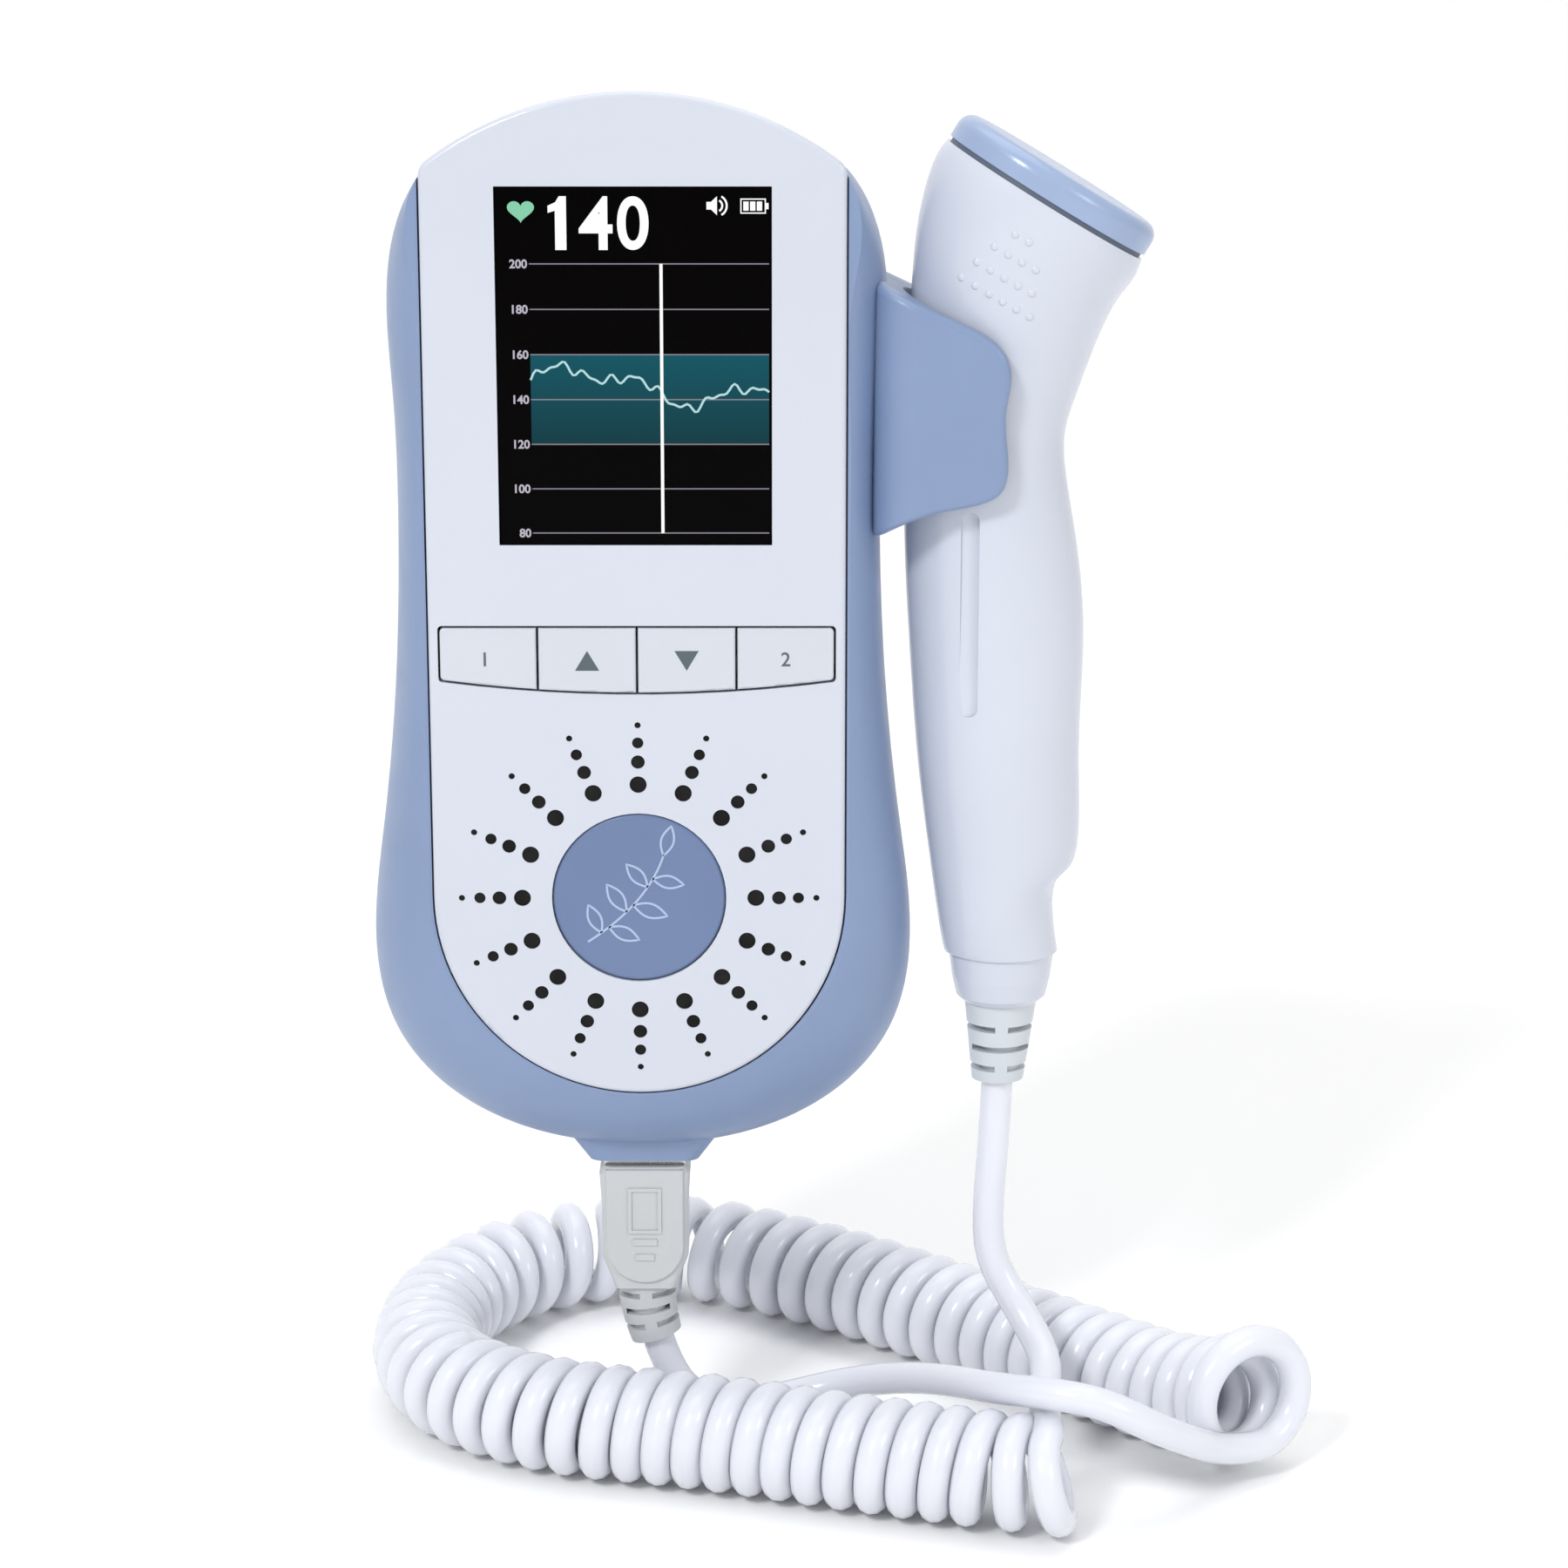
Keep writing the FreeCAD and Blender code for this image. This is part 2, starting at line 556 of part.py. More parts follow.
def boss():
    """Tapered boss under the unit that holds the socket."""
    def ring(half, depth, z):
        y0, y1 = SOCKET_Y - depth / 2, SOCKET_Y + depth / 2
        return Part.makePolygon([Vector(-half, y0, z), Vector(half, y0, z), Vector(half, y1, z),
                                 Vector(-half, y1, z), Vector(-half, y0, z)])
    solid = Part.makeLoft([ring(BOSS_TOP_HALF, BOSS_TOP_DEPTH, BOSS_START_Z),
                           ring(BOSS_END_HALF, BOSS_END_DEPTH, BOSS_END_Z)], True, True)
    corners = [e for e in solid.Edges if e.BoundBox.ZLength > 1]
    return solid.makeFillet(BOSS_CORNER_R, corners)


def socket_hole():
    half = SOCKET_HALF + SOCKET_WALL + SOCKET_GAP
    depth = SOCKET_HALF_DEPTH + SOCKET_WALL + SOCKET_GAP
    return box(-half, half, SOCKET_Y - depth, SOCKET_Y + depth, BOSS_END_Z - 1, SOCKET_TOP_Z + SOCKET_GAP)


def front_casing():
    pocket = panel_solid(PANEL_GAP, PANEL_FRONT_Y - 2, PANEL_BACK_Y)
    opening = panel_solid(-LEDGE, PANEL_BACK_Y - 1, LEDGE_BACK_Y + 1, TOP_Z - WALL)
    shell = outer_front().cut([casing_half(True, WALL, LEDGE_BACK_Y), pocket, opening])
    shell = shell.fuse(boss().common(before(SPLIT_Y)))
    for x, z, y in screw_places():
        column = rod(x, z, COLUMN_R, y, SPLIT_Y)
        if z == SCREW_TOP[1]:
            rib_top = arch_z(TOP_Z - WALL / 2, abs(x) + COLUMN_RIB_T)
            column = column.fuse(box(x - COLUMN_RIB_T / 2, x + COLUMN_RIB_T / 2, y, SPLIT_Y, z, rib_top))
        shell = shell.fuse(column).cut(rod(x, z, SCREW_R, y, SPLIT_Y + 1))
    return shell.cut(socket_hole()).removeSplitter()


def rear_casing():
    shell = outer_back().cut(casing_half(False, WALL, BACK_Y - WALL))
    shell = shell.fuse(boss().common(behind(SPLIT_Y)))
    tray = box(-RECESS_HALF - BAY_WALL, RECESS_HALF + BAY_WALL, BAY_FRONT_Y - BAY_WALL, BACK_Y - WALL / 2,
               RECESS_BOTTOM_Z - BAY_WALL, RECESS_TOP_Z + BAY_WALL)
    shell = shell.fuse(tray)
    for x, z, _ in screw_places():
        shell = shell.fuse(rod(x, z, COLUMN_R, SPLIT_Y, BACK_Y - WALL / 2))
    shell = shell.cut(box(-BAY_HALF, BAY_HALF, BAY_FRONT_Y, BACK_Y + 1, BAY_BOTTOM_Z, BAY_TOP_Z))
    shell = shell.cut(box(-RECESS_HALF, RECESS_HALF, DOOR_SEAT_Y, BACK_Y + 1, RECESS_BOTTOM_Z, RECESS_TOP_Z))
    for x in both_sides(CELL_PITCH / 2):
        room = TAB_W / 2 + TAB_GAP
        shell = shell.cut(box(x - room, x + room, DOOR_SEAT_Y - TAB_T - TAB_SWING_ROOM, DOOR_SEAT_Y + WELD / 2,
                              BAY_TOP_Z - 1, DOOR_TOP_Z + TAB_REACH + TAB_END_ROOM))
    for x, z, _ in screw_places():
        shell = shell.cut(rod(x, z, SCREW_HEAD_R + SCREW_FIT, SCREW_SEAT_Y, BACK_Y + 1))
        shell = shell.cut(rod(x, z, SCREW_R + SCREW_FIT, SPLIT_Y - 1, BACK_Y))
    return shell.cut(socket_hole()).removeSplitter()


def front_panel():
    panel = panel_solid(0.0, PANEL_FRONT_Y, PANEL_BACK_Y)
    panel = panel.makeFillet(PANEL_EDGE_R, front_edges(panel, PANEL_FRONT_Y))
    cuts = [box(-SCREEN_HALF - WINDOW_GAP, SCREEN_HALF + WINDOW_GAP, PANEL_FRONT_Y - 1, PANEL_BACK_Y + 1,
                SCREEN_BOTTOM_Z - WINDOW_GAP, SCREEN_TOP_Z + WINDOW_GAP),
            key_row(0.0, PANEL_FRONT_Y - 1, PANEL_BACK_Y + 1),
            rod(0, SPEAKER_Z, DISC_R + DISC_GAP, PANEL_FRONT_Y - 1, PANEL_FRONT_Y + DISC_RECESS + DISC_T)]
    for ray in range(RAY_COUNT):
        angle = 2 * math.pi * ray / RAY_COUNT
        for inset, radius in RAY_HOLES:
            distance = SPEAKER_R - inset
            x, z = distance * math.sin(angle), SPEAKER_Z + distance * math.cos(angle)
            cuts.append(rod(x, z, radius, PANEL_FRONT_Y - 1, PANEL_BACK_Y + 1))
    posts = [rod(x, z, POST_R, PANEL_BACK_Y - WELD, BOARD_FRONT_Y) for x, z in post_places()]
    bores = [rod(x, z, BOARD_SCREW_R, BOARD_BACK_Y - BOARD_SCREW_L, BOARD_FRONT_Y + 1)
             for x, z in post_places()]
    panel = panel.cut(Part.makeCompound(cuts))
    return panel.multiFuse(posts).cut(Part.makeCompound(bores)).removeSplitter()


def screen_window():
    window = box(-SCREEN_HALF, SCREEN_HALF, PANEL_FRONT_Y + WINDOW_RECESS, PANEL_BACK_Y,
                 SCREEN_BOTTOM_Z, SCREEN_TOP_Z)
    return window.makeChamfer(WINDOW_CHAMFER, front_edges(window, PANEL_FRONT_Y + WINDOW_RECESS))


def display_module():
    tray_y = PANEL_BACK_Y + DISPLAY_GLASS_T
    inset = DISPLAY_TRAY_INSET
    glass = box(-DISPLAY_HALF, DISPLAY_HALF, PANEL_BACK_Y, tray_y, DISPLAY_BOTTOM_Z, DISPLAY_TOP_Z)
    tray = box(-DISPLAY_HALF + inset, DISPLAY_HALF - inset, tray_y, PANEL_BACK_Y + DISPLAY_T,
               DISPLAY_BOTTOM_Z + inset, DISPLAY_TOP_Z - inset)
    return glass.fuse(tray)


def display_frame():
    wall = DISPLAY_FRAME_WALL
    outer = box(-DISPLAY_HALF - wall, DISPLAY_HALF + wall, PANEL_BACK_Y, BOARD_FRONT_Y,
                DISPLAY_BOTTOM_Z - wall, DISPLAY_TOP_Z + wall)
    pocket = box(-DISPLAY_HALF, DISPLAY_HALF, PANEL_BACK_Y - 1, PANEL_BACK_Y + DISPLAY_T,
                 DISPLAY_BOTTOM_Z, DISPLAY_TOP_Z)
    lip = DISPLAY_FRAME_LIP
    room = box(-DISPLAY_HALF + lip, DISPLAY_HALF - lip, PANEL_BACK_Y, BOARD_FRONT_Y + 1,
               DISPLAY_BOTTOM_Z + lip, DISPLAY_TOP_Z - lip)
    return outer.cut(pocket).cut(room)


# ---------------------------------------------------------------- keys

def key(index):
    """One of the keys in the row: 0 is the left one."""
    pitch = 2 * KEY_ROW_HALF / KEY_COUNT
    x0 = -KEY_ROW_HALF + index * pitch + (KEY_GAP if index == 0 else KEY_GAP / 2)
    x1 = x0 + pitch - (1.5 * KEY_GAP if index in (0, KEY_COUNT - 1) else KEY_GAP)
    strip = box(x0, x1, -FAR, FAR, -FAR, FAR)
    front = PANEL_FRONT_Y - KEY_PROUD
    cap = key_row(KEY_GAP, front, KEY_BACK_Y).common(strip)
    cap = cap.makeFillet(KEY_EDGE_R, front_edges(cap, front))
    lip = key_row(-KEY_LIP, KEY_LIP_FRONT_Y, KEY_BACK_Y).common(strip)
    return cap.fuse(lip).removeSplitter()


def key_middle(index):
    """Centre of a key, as (x, z)."""
    x = -KEY_ROW_HALF + (index + 0.5) * 2 * KEY_ROW_HALF / KEY_COUNT
    return x, KEY_TOP_Z - KEY_END_H / 2 - KEY_SAG / 3


def key_mat():
    return key_row(-KEY_LIP, MAT_FRONT_Y, MAT_BACK_Y).common(
        box(-KEY_ROW_HALF, KEY_ROW_HALF, -FAR, FAR, -FAR, FAR))


def tact_switches():
    solids = []
    for index in range(KEY_COUNT):
        x, z = key_middle(index)
        side = SWITCH_SIDE / 2
        body = box(x - side, x + side, MAT_BACK_Y + SWITCH_PLUNGER_H, BOARD_FRONT_Y, z - side, z + side)
        solids.append(body.fuse(rod(x, z, SWITCH_PLUNGER_R, MAT_BACK_Y, BOARD_FRONT_Y)).removeSplitter())
    return Part.makeCompound(solids)


# ---------------------------------------------------------------- board

def main_board():
    corner = BOARD_CORNER
    half = BOARD_HALF
    board = Part.makePolygon([
        Vector(-half, BOARD_FRONT_Y, BOARD_BOTTOM_Z), Vector(half, BOARD_FRONT_Y, BOARD_BOTTOM_Z),
        Vector(half, BOARD_FRONT_Y, BOARD_TOP_Z - corner), Vector(half - corner, BOARD_FRONT_Y, BOARD_TOP_Z),
        Vector(-half + corner, BOARD_FRONT_Y, BOARD_TOP_Z), Vector(-half, BOARD_FRONT_Y, BOARD_TOP_Z - corner),
        Vector(-half, BOARD_FRONT_Y, BOARD_BOTTOM_Z)])
    plate = prism(board, BOARD_T)
    holes = [rod(x, z, BOARD_SCREW_R + SCREW_FIT, BOARD_FRONT_Y - 1, BOARD_BACK_Y + 1)
             for x, z in post_places()]
    return plate.cut(Part.makeCompound(holes))


def board_parts():
    solids = []
    for x, rise, width, height, depth in CHIPS:
        z = BOARD_BOTTOM_Z + rise
        solids.append(box(x - width / 2, x + width / 2, BOARD_BACK_Y, BOARD_BACK_Y + depth,
                          z - height / 2, z + height / 2))
    return Part.makeCompound(solids)


def board_screws():
    solids = []
    for x, z in post_places():
        top = BOARD_BACK_Y + BOARD_SCREW_HEAD_T
        head = rod(x, z, BOARD_SCREW_HEAD_R, BOARD_BACK_Y, top)
        slot = box(x - BOARD_SCREW_HEAD_R, x + BOARD_SCREW_HEAD_R, top - BOARD_SCREW_SLOT_DEPTH, top + 1,
                   z - BOARD_SCREW_SLOT_W / 2, z + BOARD_SCREW_SLOT_W / 2)
        shank = rod(x, z, BOARD_SCREW_R, BOARD_BACK_Y - BOARD_SCREW_L, BOARD_BACK_Y)
        solids.append(head.cut(slot).fuse(shank))
    return Part.makeCompound(solids)


def casing_screws():
    solids = []
    for x, z, y in screw_places():
        top = SCREW_SEAT_Y + SCREW_HEAD_T
        head = rod(x, z, SCREW_HEAD_R, SCREW_SEAT_Y, top)
        for wide, tall in ((SCREW_CROSS_HALF, SCREW_SLOT / 2), (SCREW_SLOT / 2, SCREW_CROSS_HALF)):
            head = head.cut(box(x - wide, x + wide, top - SCREW_CROSS_DEPTH, top + 1, z - tall, z + tall))
        solids.append(head.fuse(rod(x, z, SCREW_R, y + SCREW_END_ROOM, SCREW_SEAT_Y)))
    return Part.makeCompound(solids)


# ---------------------------------------------------------------- speaker

def centre_disc():
    front = PANEL_FRONT_Y + DISC_RECESS
    disc = rod(0, SPEAKER_Z, DISC_R, front, front + DISC_T)
    return disc.makeFillet(DISC_EDGE_R, front_edges(disc, front))


def speaker_gasket():
    ring = rod(0, SPEAKER_Z, SPEAKER_R, PANEL_BACK_Y, SPEAKER_FLANGE_Y)
    return ring.cut(rod(0, SPEAKER_Z, SPEAKER_R - GASKET_WIDTH, PANEL_BACK_Y - 1, SPEAKER_FLANGE_Y + 1))


def speaker_frame():
    inner_r = SPEAKER_R - 2 * GASKET_WIDTH
    flange = rod(0, SPEAKER_Z, SPEAKER_R, SPEAKER_FLANGE_Y, BASKET_FRONT_Y)
    flange = flange.cut(rod(0, SPEAKER_Z, inner_r, SPEAKER_FLANGE_Y - 1, BASKET_FRONT_Y + 1))
    basket = frustum(0, SPEAKER_Z, inner_r + BASKET_WALL, BASKET_BACK_R, BASKET_FRONT_Y, BASKET_BACK_Y)
    basket = basket.cut(frustum(0, SPEAKER_Z, inner_r, BASKET_BACK_R - BASKET_WALL, BASKET_FRONT_Y,
                                BASKET_BACK_Y - BASKET_WALL))
    slots = []
    for i in range(BASKET_WINDOWS):
        slot = box(BASKET_BACK_R, SPEAKER_R, BASKET_FRONT_Y + BASKET_BAR, BASKET_BACK_Y - BASKET_BAR,
                   SPEAKER_Z - BASKET_WINDOW_W / 2, SPEAKER_Z + BASKET_WINDOW_W / 2)
        slot.rotate(Vector(0, 0, SPEAKER_Z), Vector(0, 1, 0), 360 * (i + 0.5) / BASKET_WINDOWS)
        slots.append(slot)
    return flange.fuse(basket).cut(Part.makeCompound(slots)).removeSplitter()


def speaker_cone():
    """Paper cone with its dust cap, glued to the frame's flange."""
    rim_r = SPEAKER_R - 2 * GASKET_WIDTH
    rim_y = SPEAKER_FLANGE_Y + CONE_RISE
    coil_end_y = BASKET_BACK_Y - BASKET_WALL
    throat_y = coil_end_y - VOICE_COIL_L
    cone = frustum(0, SPEAKER_Z, rim_r, VOICE_COIL_R + CONE_T, rim_y, throat_y)
    cone = cone.cut(frustum(0, SPEAKER_Z, rim_r - 2 * CONE_T, VOICE_COIL_R, rim_y, throat_y))
    coil = rod(0, SPEAKER_Z, VOICE_COIL_R + CONE_T, throat_y, coil_end_y)
    cap = rod(0, SPEAKER_Z, VOICE_COIL_R, throat_y - DUST_CAP_T, throat_y)
    return fuse([cone, coil, cap])


def speaker_magnet():
    end_y = BASKET_BACK_Y + MAGNET_T
    yoke = rod(0, SPEAKER_Z, MAGNET_R, BASKET_BACK_Y, end_y - YOKE_PLATE_T)
    plate = rod(0, SPEAKER_Z, MAGNET_R - YOKE_PLATE_INSET, end_y - YOKE_PLATE_T, end_y)
    return yoke.fuse(plate).removeSplitter()


# ---------------------------------------------------------------- battery bay

def cell_places():
    return [(i - (CELL_COUNT - 1) / 2) * CELL_PITCH for i in range(CELL_COUNT)]


def battery_cells():
    """Three cells side by side; the middle one is the other way up."""
    solids = []
    for i, x in enumerate(cell_places()):
        way = 1 if i % 2 == 0 else -1
        base = Vector(x, CELL_Y, CELL_MID_Z - way * CELL_L / 2)
        can = Part.makeCylinder(CELL_R, CELL_L - CELL_NUB_H, base, Vector(0, 0, way))
        nub = Part.makeCylinder(CELL_NUB_R, CELL_L, base, Vector(0, 0, way))
        solids.append(can.fuse(nub).removeSplitter())
    return Part.makeCompound(solids)


def battery_contacts():
    """Spring plates in both ends of the bay: one pair is bridged at each end."""
    solids = []
    for way in (-1, 1):
        z0 = CELL_MID_Z + way * CELL_L / 2
        z1 = z0 + way * CONTACT_T
        low, high = min(z0, z1), max(z0, z1)
        for x in cell_places():
            solids.append(box(x - CONTACT_HALF, x + CONTACT_HALF, CELL_Y - CONTACT_HALF, CELL_Y + CONTACT_HALF,
                              low, high))
        bridge = cell_places()[:2] if way > 0 else cell_places()[1:]
        solids.append(box(bridge[0], bridge[-1], CELL_Y - BRIDGE_HALF, CELL_Y + BRIDGE_HALF, low, high))
    return fuse(solids)


def battery_door():
    half = RECESS_HALF - DOOR_GAP
    door = box(-half, half, DOOR_INNER_Y, BACK_Y, DOOR_BOTTOM_Z, DOOR_TOP_Z)
    door = door.makeFillet(DOOR_CORNER_R, upright_edges(door, DOOR_T))
    stem_top = DOOR_TOP_Z - DOOR_LAP
    tab_y = DOOR_SEAT_Y - WELD / 2
    for x in both_sides(CELL_PITCH / 2):
        left, right = x - TAB_W / 2, x + TAB_W / 2
        stem = box(left, right, tab_y - TAB_T, DOOR_INNER_Y, stem_top - TAB_STEM, stem_top)
        tab = box(left, right, tab_y - TAB_T, tab_y, stem_top - TAB_STEM, DOOR_TOP_Z + TAB_REACH)
        door = door.fuse(stem).fuse(tab)
    latch_z = BAY_BOTTOM_Z + DOOR_GAP
    latch = box(-LATCH_W / 2, LATCH_W / 2, DOOR_INNER_Y - LATCH_H, DOOR_INNER_Y, latch_z, latch_z + LATCH_T)
    door = door.fuse(latch)
    for i in range(GRIP_RIBS):
        z = DOOR_BOTTOM_Z + GRIP_START + i * GRIP_PITCH
        door = door.cut(box(-GRIP_W / 2, GRIP_W / 2, BACK_Y - GRIP_GROOVE_DEPTH, BACK_Y + 1,
                            z - GRIP_GROOVE_H / 2, z + GRIP_GROOVE_H / 2))
    return door.removeSplitter()


# ---------------------------------------------------------------- connector and plug

def connector_socket():
    half, depth = SOCKET_HALF + SOCKET_WALL, SOCKET_HALF_DEPTH + SOCKET_WALL
    floor_z = SOCKET_MOUTH_Z + SOCKET_DEPTH
    outer = box(-half, half, SOCKET_Y - depth, SOCKET_Y + depth, SOCKET_MOUTH_Z, SOCKET_TOP_Z)
    room = box(-SOCKET_HALF, SOCKET_HALF, SOCKET_Y - SOCKET_HALF_DEPTH, SOCKET_Y + SOCKET_HALF_DEPTH,
               SOCKET_MOUTH_Z - 1, floor_z)
    tongue_half = SOCKET_HALF - TONGUE_INSET
    tongue = box(-tongue_half, tongue_half, SOCKET_Y - TONGUE_HALF_T, SOCKET_Y + TONGUE_HALF_T,
                 SOCKET_MOUTH_Z + TONGUE_DROP, floor_z)
    return outer.cut(room).fuse(tongue).removeSplitter()


def plug_shell():
    """Metal shell of the plug, up inside the socket."""
    half, depth = SOCKET_HALF - PLUG_FIT, SOCKET_HALF_DEPTH - PLUG_FIT
    top = SOCKET_MOUTH_Z + SOCKET_DEPTH - PLUG_SHELL_END_ROOM
    outer = box(-half, half, SOCKET_Y - depth, SOCKET_Y + depth, PLUG_TOP_Z, top)
    wall = PLUG_SHELL_T
    return outer.cut(box(-half + wall, half - wall, SOCKET_Y - depth + wall, SOCKET_Y + depth - wall,
                         PLUG_TOP_Z + PLUG_SHELL_FLOOR, top + 1))


def plug_body():
    """Moulded plug with a raised shield on its front."""
    front = SOCKET_Y - PLUG_DEPTH / 2
    outline = ((PLUG_TOP_HALF, PLUG_TOP_Z), (PLUG_HALF, PLUG_TOP_Z - PLUG_SHOULDER_L),
               (PLUG_END_HALF, PLUG_TOP_Z - PLUG_TAPER_L),
               (PLUG_END_HALF, PLUG_END_Z + PLUG_FOOT_L), (PLUG_FOOT_HALF, PLUG_END_Z))
    points = [Vector(x, front, z) for x, z in outline] + [Vector(-x, front, z) for x, z in reversed(outline)]
    body = prism(Part.makePolygon(points + points[:1]), PLUG_DEPTH)
    body = body.makeFillet(PLUG_EDGE_R, [e for e in body.Edges if e.BoundBox.YLength < 1e-4
                                         and e.BoundBox.ZLength > 1.0])
    y0 = front - SHIELD_H
    top, low = PLUG_TOP_Z - SHIELD_TOP, PLUG_TOP_Z - SHIELD_L + SHIELD_HALF
    left, right = Vector(-SHIELD_HALF, y0, top), Vector(SHIELD_HALF, y0, top)
    low_left, low_right = Vector(-SHIELD_HALF, y0, low), Vector(SHIELD_HALF, y0, low)
    shield = prism(Part.Wire([
        Part.LineSegment(left, right).toShape(), Part.LineSegment(right, low_right).toShape(),
        Part.Arc(low_right, Vector(0, y0, low - SHIELD_HALF), low_left).toShape(),
        Part.LineSegment(low_left, left).toShape()]), SHIELD_H + WELD)
    shield = shield.makeFillet(0.6 * SHIELD_H, front_edges(shield, y0))
    frame_low, frame_high = PLUG_TOP_Z - FRAME_END, PLUG_TOP_Z - FRAME_TOP
    inner = FRAME_HALF - MARK_LINE
    frame = box(-FRAME_HALF, FRAME_HALF, y0 - MARK_H, y0 + WELD, frame_low, frame_high)
    frame = frame.cut(box(-inner, inner, y0 - 1, y0 + 1, frame_low + MARK_LINE, frame_high - MARK_LINE))
    bars = [box(-half, half, y0 - MARK_H, y0 + WELD, PLUG_TOP_Z - drop - BAR_H, PLUG_TOP_Z - drop)
            for drop, half in BARS]
    return fuse([body, shield, frame] + bars)


def relief_ring(centre, half, half_depth, tilt):
    """Oval outline across a strain relief, tilted about the y axis through its centre."""
    lean = math.radians(tilt)
    side = Vector(half * math.cos(lean), 0, half * math.sin(lean))
    middle = Vector(*centre)
    if half >= half_depth:
        oval = Part.Ellipse(middle + side, middle + Vector(0, half_depth, 0), middle)
    else:
        oval = Part.Ellipse(middle + Vector(0, half_depth, 0), middle + side, middle)
    return Part.Wire(oval.toShape())


def relief_slots(rows, half):
    """Slots round a core that let a strain relief bend. Each row has a place and a tilt. Rows take turns:
    two slots that run round the sides, or a wide one in front and one behind."""
    core = Part.makeCylinder(CORE_R, SLOT_H, Vector(0, 0, -SLOT_H / 2))
    cuts = []
    for i, (x, y, z, tilt) in enumerate(rows):
        if i % 2 == 0:
            slot = box(SLOT_SPINE, FAR, -FAR, FAR, -SLOT_H / 2, SLOT_H / 2).cut(core)
            shapes = [slot, mirrored(slot, "x")]
        else:
            slot = box(-half + SLOT_EDGE, half - SLOT_EDGE, 0, FAR, -SLOT_H / 2, SLOT_H / 2).cut(core)
            shapes = [slot, mirrored(slot, "y")]
        for shape in shapes:
            shape.rotate(Vector(0, 0, 0), Vector(0, 1, 0), -tilt)
            shape.translate(Vector(x, y, z))
            cuts.append(shape)
    return Part.makeCompound(cuts)


def plug_strain_relief():
    """Slotted strain relief that leans to the right with the cable."""
    end, below = PLUG_ROUTE[:2]
    length = PLUG_END_Z - end[2]
    lean = math.degrees(math.atan2(below[0] - end[0], end[2] - below[2]))
    rings = [relief_ring((x, SOCKET_Y, PLUG_END_Z - share * length), half, half_depth, share * lean)
             for x, share, half, half_depth in PLUG_RELIEF_RINGS]
    rings.append(relief_ring((end[0], SOCKET_Y, end[2]), *PLUG_RELIEF_END, lean))
    # The axis leans more and more, so it leaves the plug's middle with the square of the drop.
    rows = [(end[0] * share ** 2, SOCKET_Y, PLUG_END_Z - share * length, share * lean)
            for share in PLUG_RELIEF_ROWS]
    return Part.makeLoft(rings, True).cut(relief_slots(rows, PLUG_RELIEF_RINGS[0][2]))


# ---------------------------------------------------------------- clip

def clip_round(half_x, half_y):
    """Upright oval column about the middle of the clip."""
    middle = Vector(CLIP_X, PROBE_Y, -FAR)
    right, back = middle + Vector(half_x, 0, 0), middle + Vector(0, half_y, 0)
    oval = Part.Ellipse(right, back, middle) if half_x > half_y else Part.Ellipse(back, right, middle)
    return Part.Face(Part.Wire(oval.toShape())).extrude(Vector(0, 0, 2 * FAR))


def probe_holder():
    """Clip with a finger in front of the probe's handle and one behind it."""
    half_depth = CLIP_BORE_HALF_DEPTH + CLIP_WALL
    front, back = PROBE_Y - half_depth, PROBE_Y + half_depth
    edge = [Vector(CLIP_ROOT_X + reach, front, CLIP_BOTTOM_Z + rise) for reach, rise in CLIP_EDGE]
    curve = Part.BSplineCurve()
    curve.interpolate(edge)
    side_view = prism(Part.Wire([curve.toShape(), Part.LineSegment(edge[-1], edge[0]).toShape()]), back - front)
    body = box(CLIP_ROOT_X, CLIP_X, front, back, -FAR, FAR)
    body = body.makeFillet(CLIP_CORNER_R, [e for e in body.Edges if e.BoundBox.ZLength > FAR
                                           and abs(e.BoundBox.XMin - CLIP_ROOT_X) < 1e-4])
    right_half = box(CLIP_X, CLIP_X + FAR, front, back, -FAR, FAR)
    body = body.fuse(clip_round(CLIP_BORE_HALF + CLIP_WALL, half_depth).common(right_half))
    body = body.common(side_view)
    rims = [e for e in body.Edges if e.BoundBox.XLength > 1e-3 and e.BoundBox.ZLength > 1e-3]
    body = body.makeFillet(CLIP_RIM_R, rims).cut(clip_round(CLIP_BORE_HALF, CLIP_BORE_HALF_DEPTH))
    return body.cut(outer_front()).cut(outer_back()).removeSplitter()


# ---------------------------------------------------------------- probe

def probe_ring(section, wall):
    (x0, z0), (x1, z1), half_depth = section
    middle = Vector((x0 + x1) / 2, PROBE_Y, (z0 + z1) / 2)
    side = Vector((x1 - x0) / 2, 0, (z1 - z0) / 2)
    half = side.Length
    side.multiply((half - wall) / half)
    oval = Part.Ellipse(middle + side, middle + Vector(0, half_depth - wall, 0), middle)
    return Part.Wire(oval.toShape())


def shifted(section, dx, dz):
    (x0, z0), (x1, z1), half_depth = section
    return ((x0 + dx, z0 + dz), (x1 + dx, z1 + dz), half_depth)


def probe_solid():
    return Part.makeLoft([probe_ring(section, 0.0) for section in PROBE_SECTIONS], True)


def probe_room():
    """Space inside the probe's wall, run on past both ends."""
    out = seam_frame()[2]
    first = shifted(PROBE_SECTIONS[0], 0, -PROBE_WALL)
    last = shifted(PROBE_SECTIONS[-1], out.x * PROBE_WALL, out.z * PROBE_WALL)
    sections = [first] + PROBE_SECTIONS + [last]
    return Part.makeLoft([probe_ring(section, PROBE_WALL) for section in sections], True)


def seam_frame():
    """Middle of the cap's seam, the way across it, and the way out of the probe's face."""
    (x0, z0), (x1, z1), _ = PROBE_SECTIONS[-1]
    across = Vector(x1 - x0, 0, z1 - z0)
    across.normalize()
    out = Vector(-across.z, 0, across.x)
    return Vector((x0 + x1) / 2, PROBE_Y, (z0 + z1) / 2), across, out


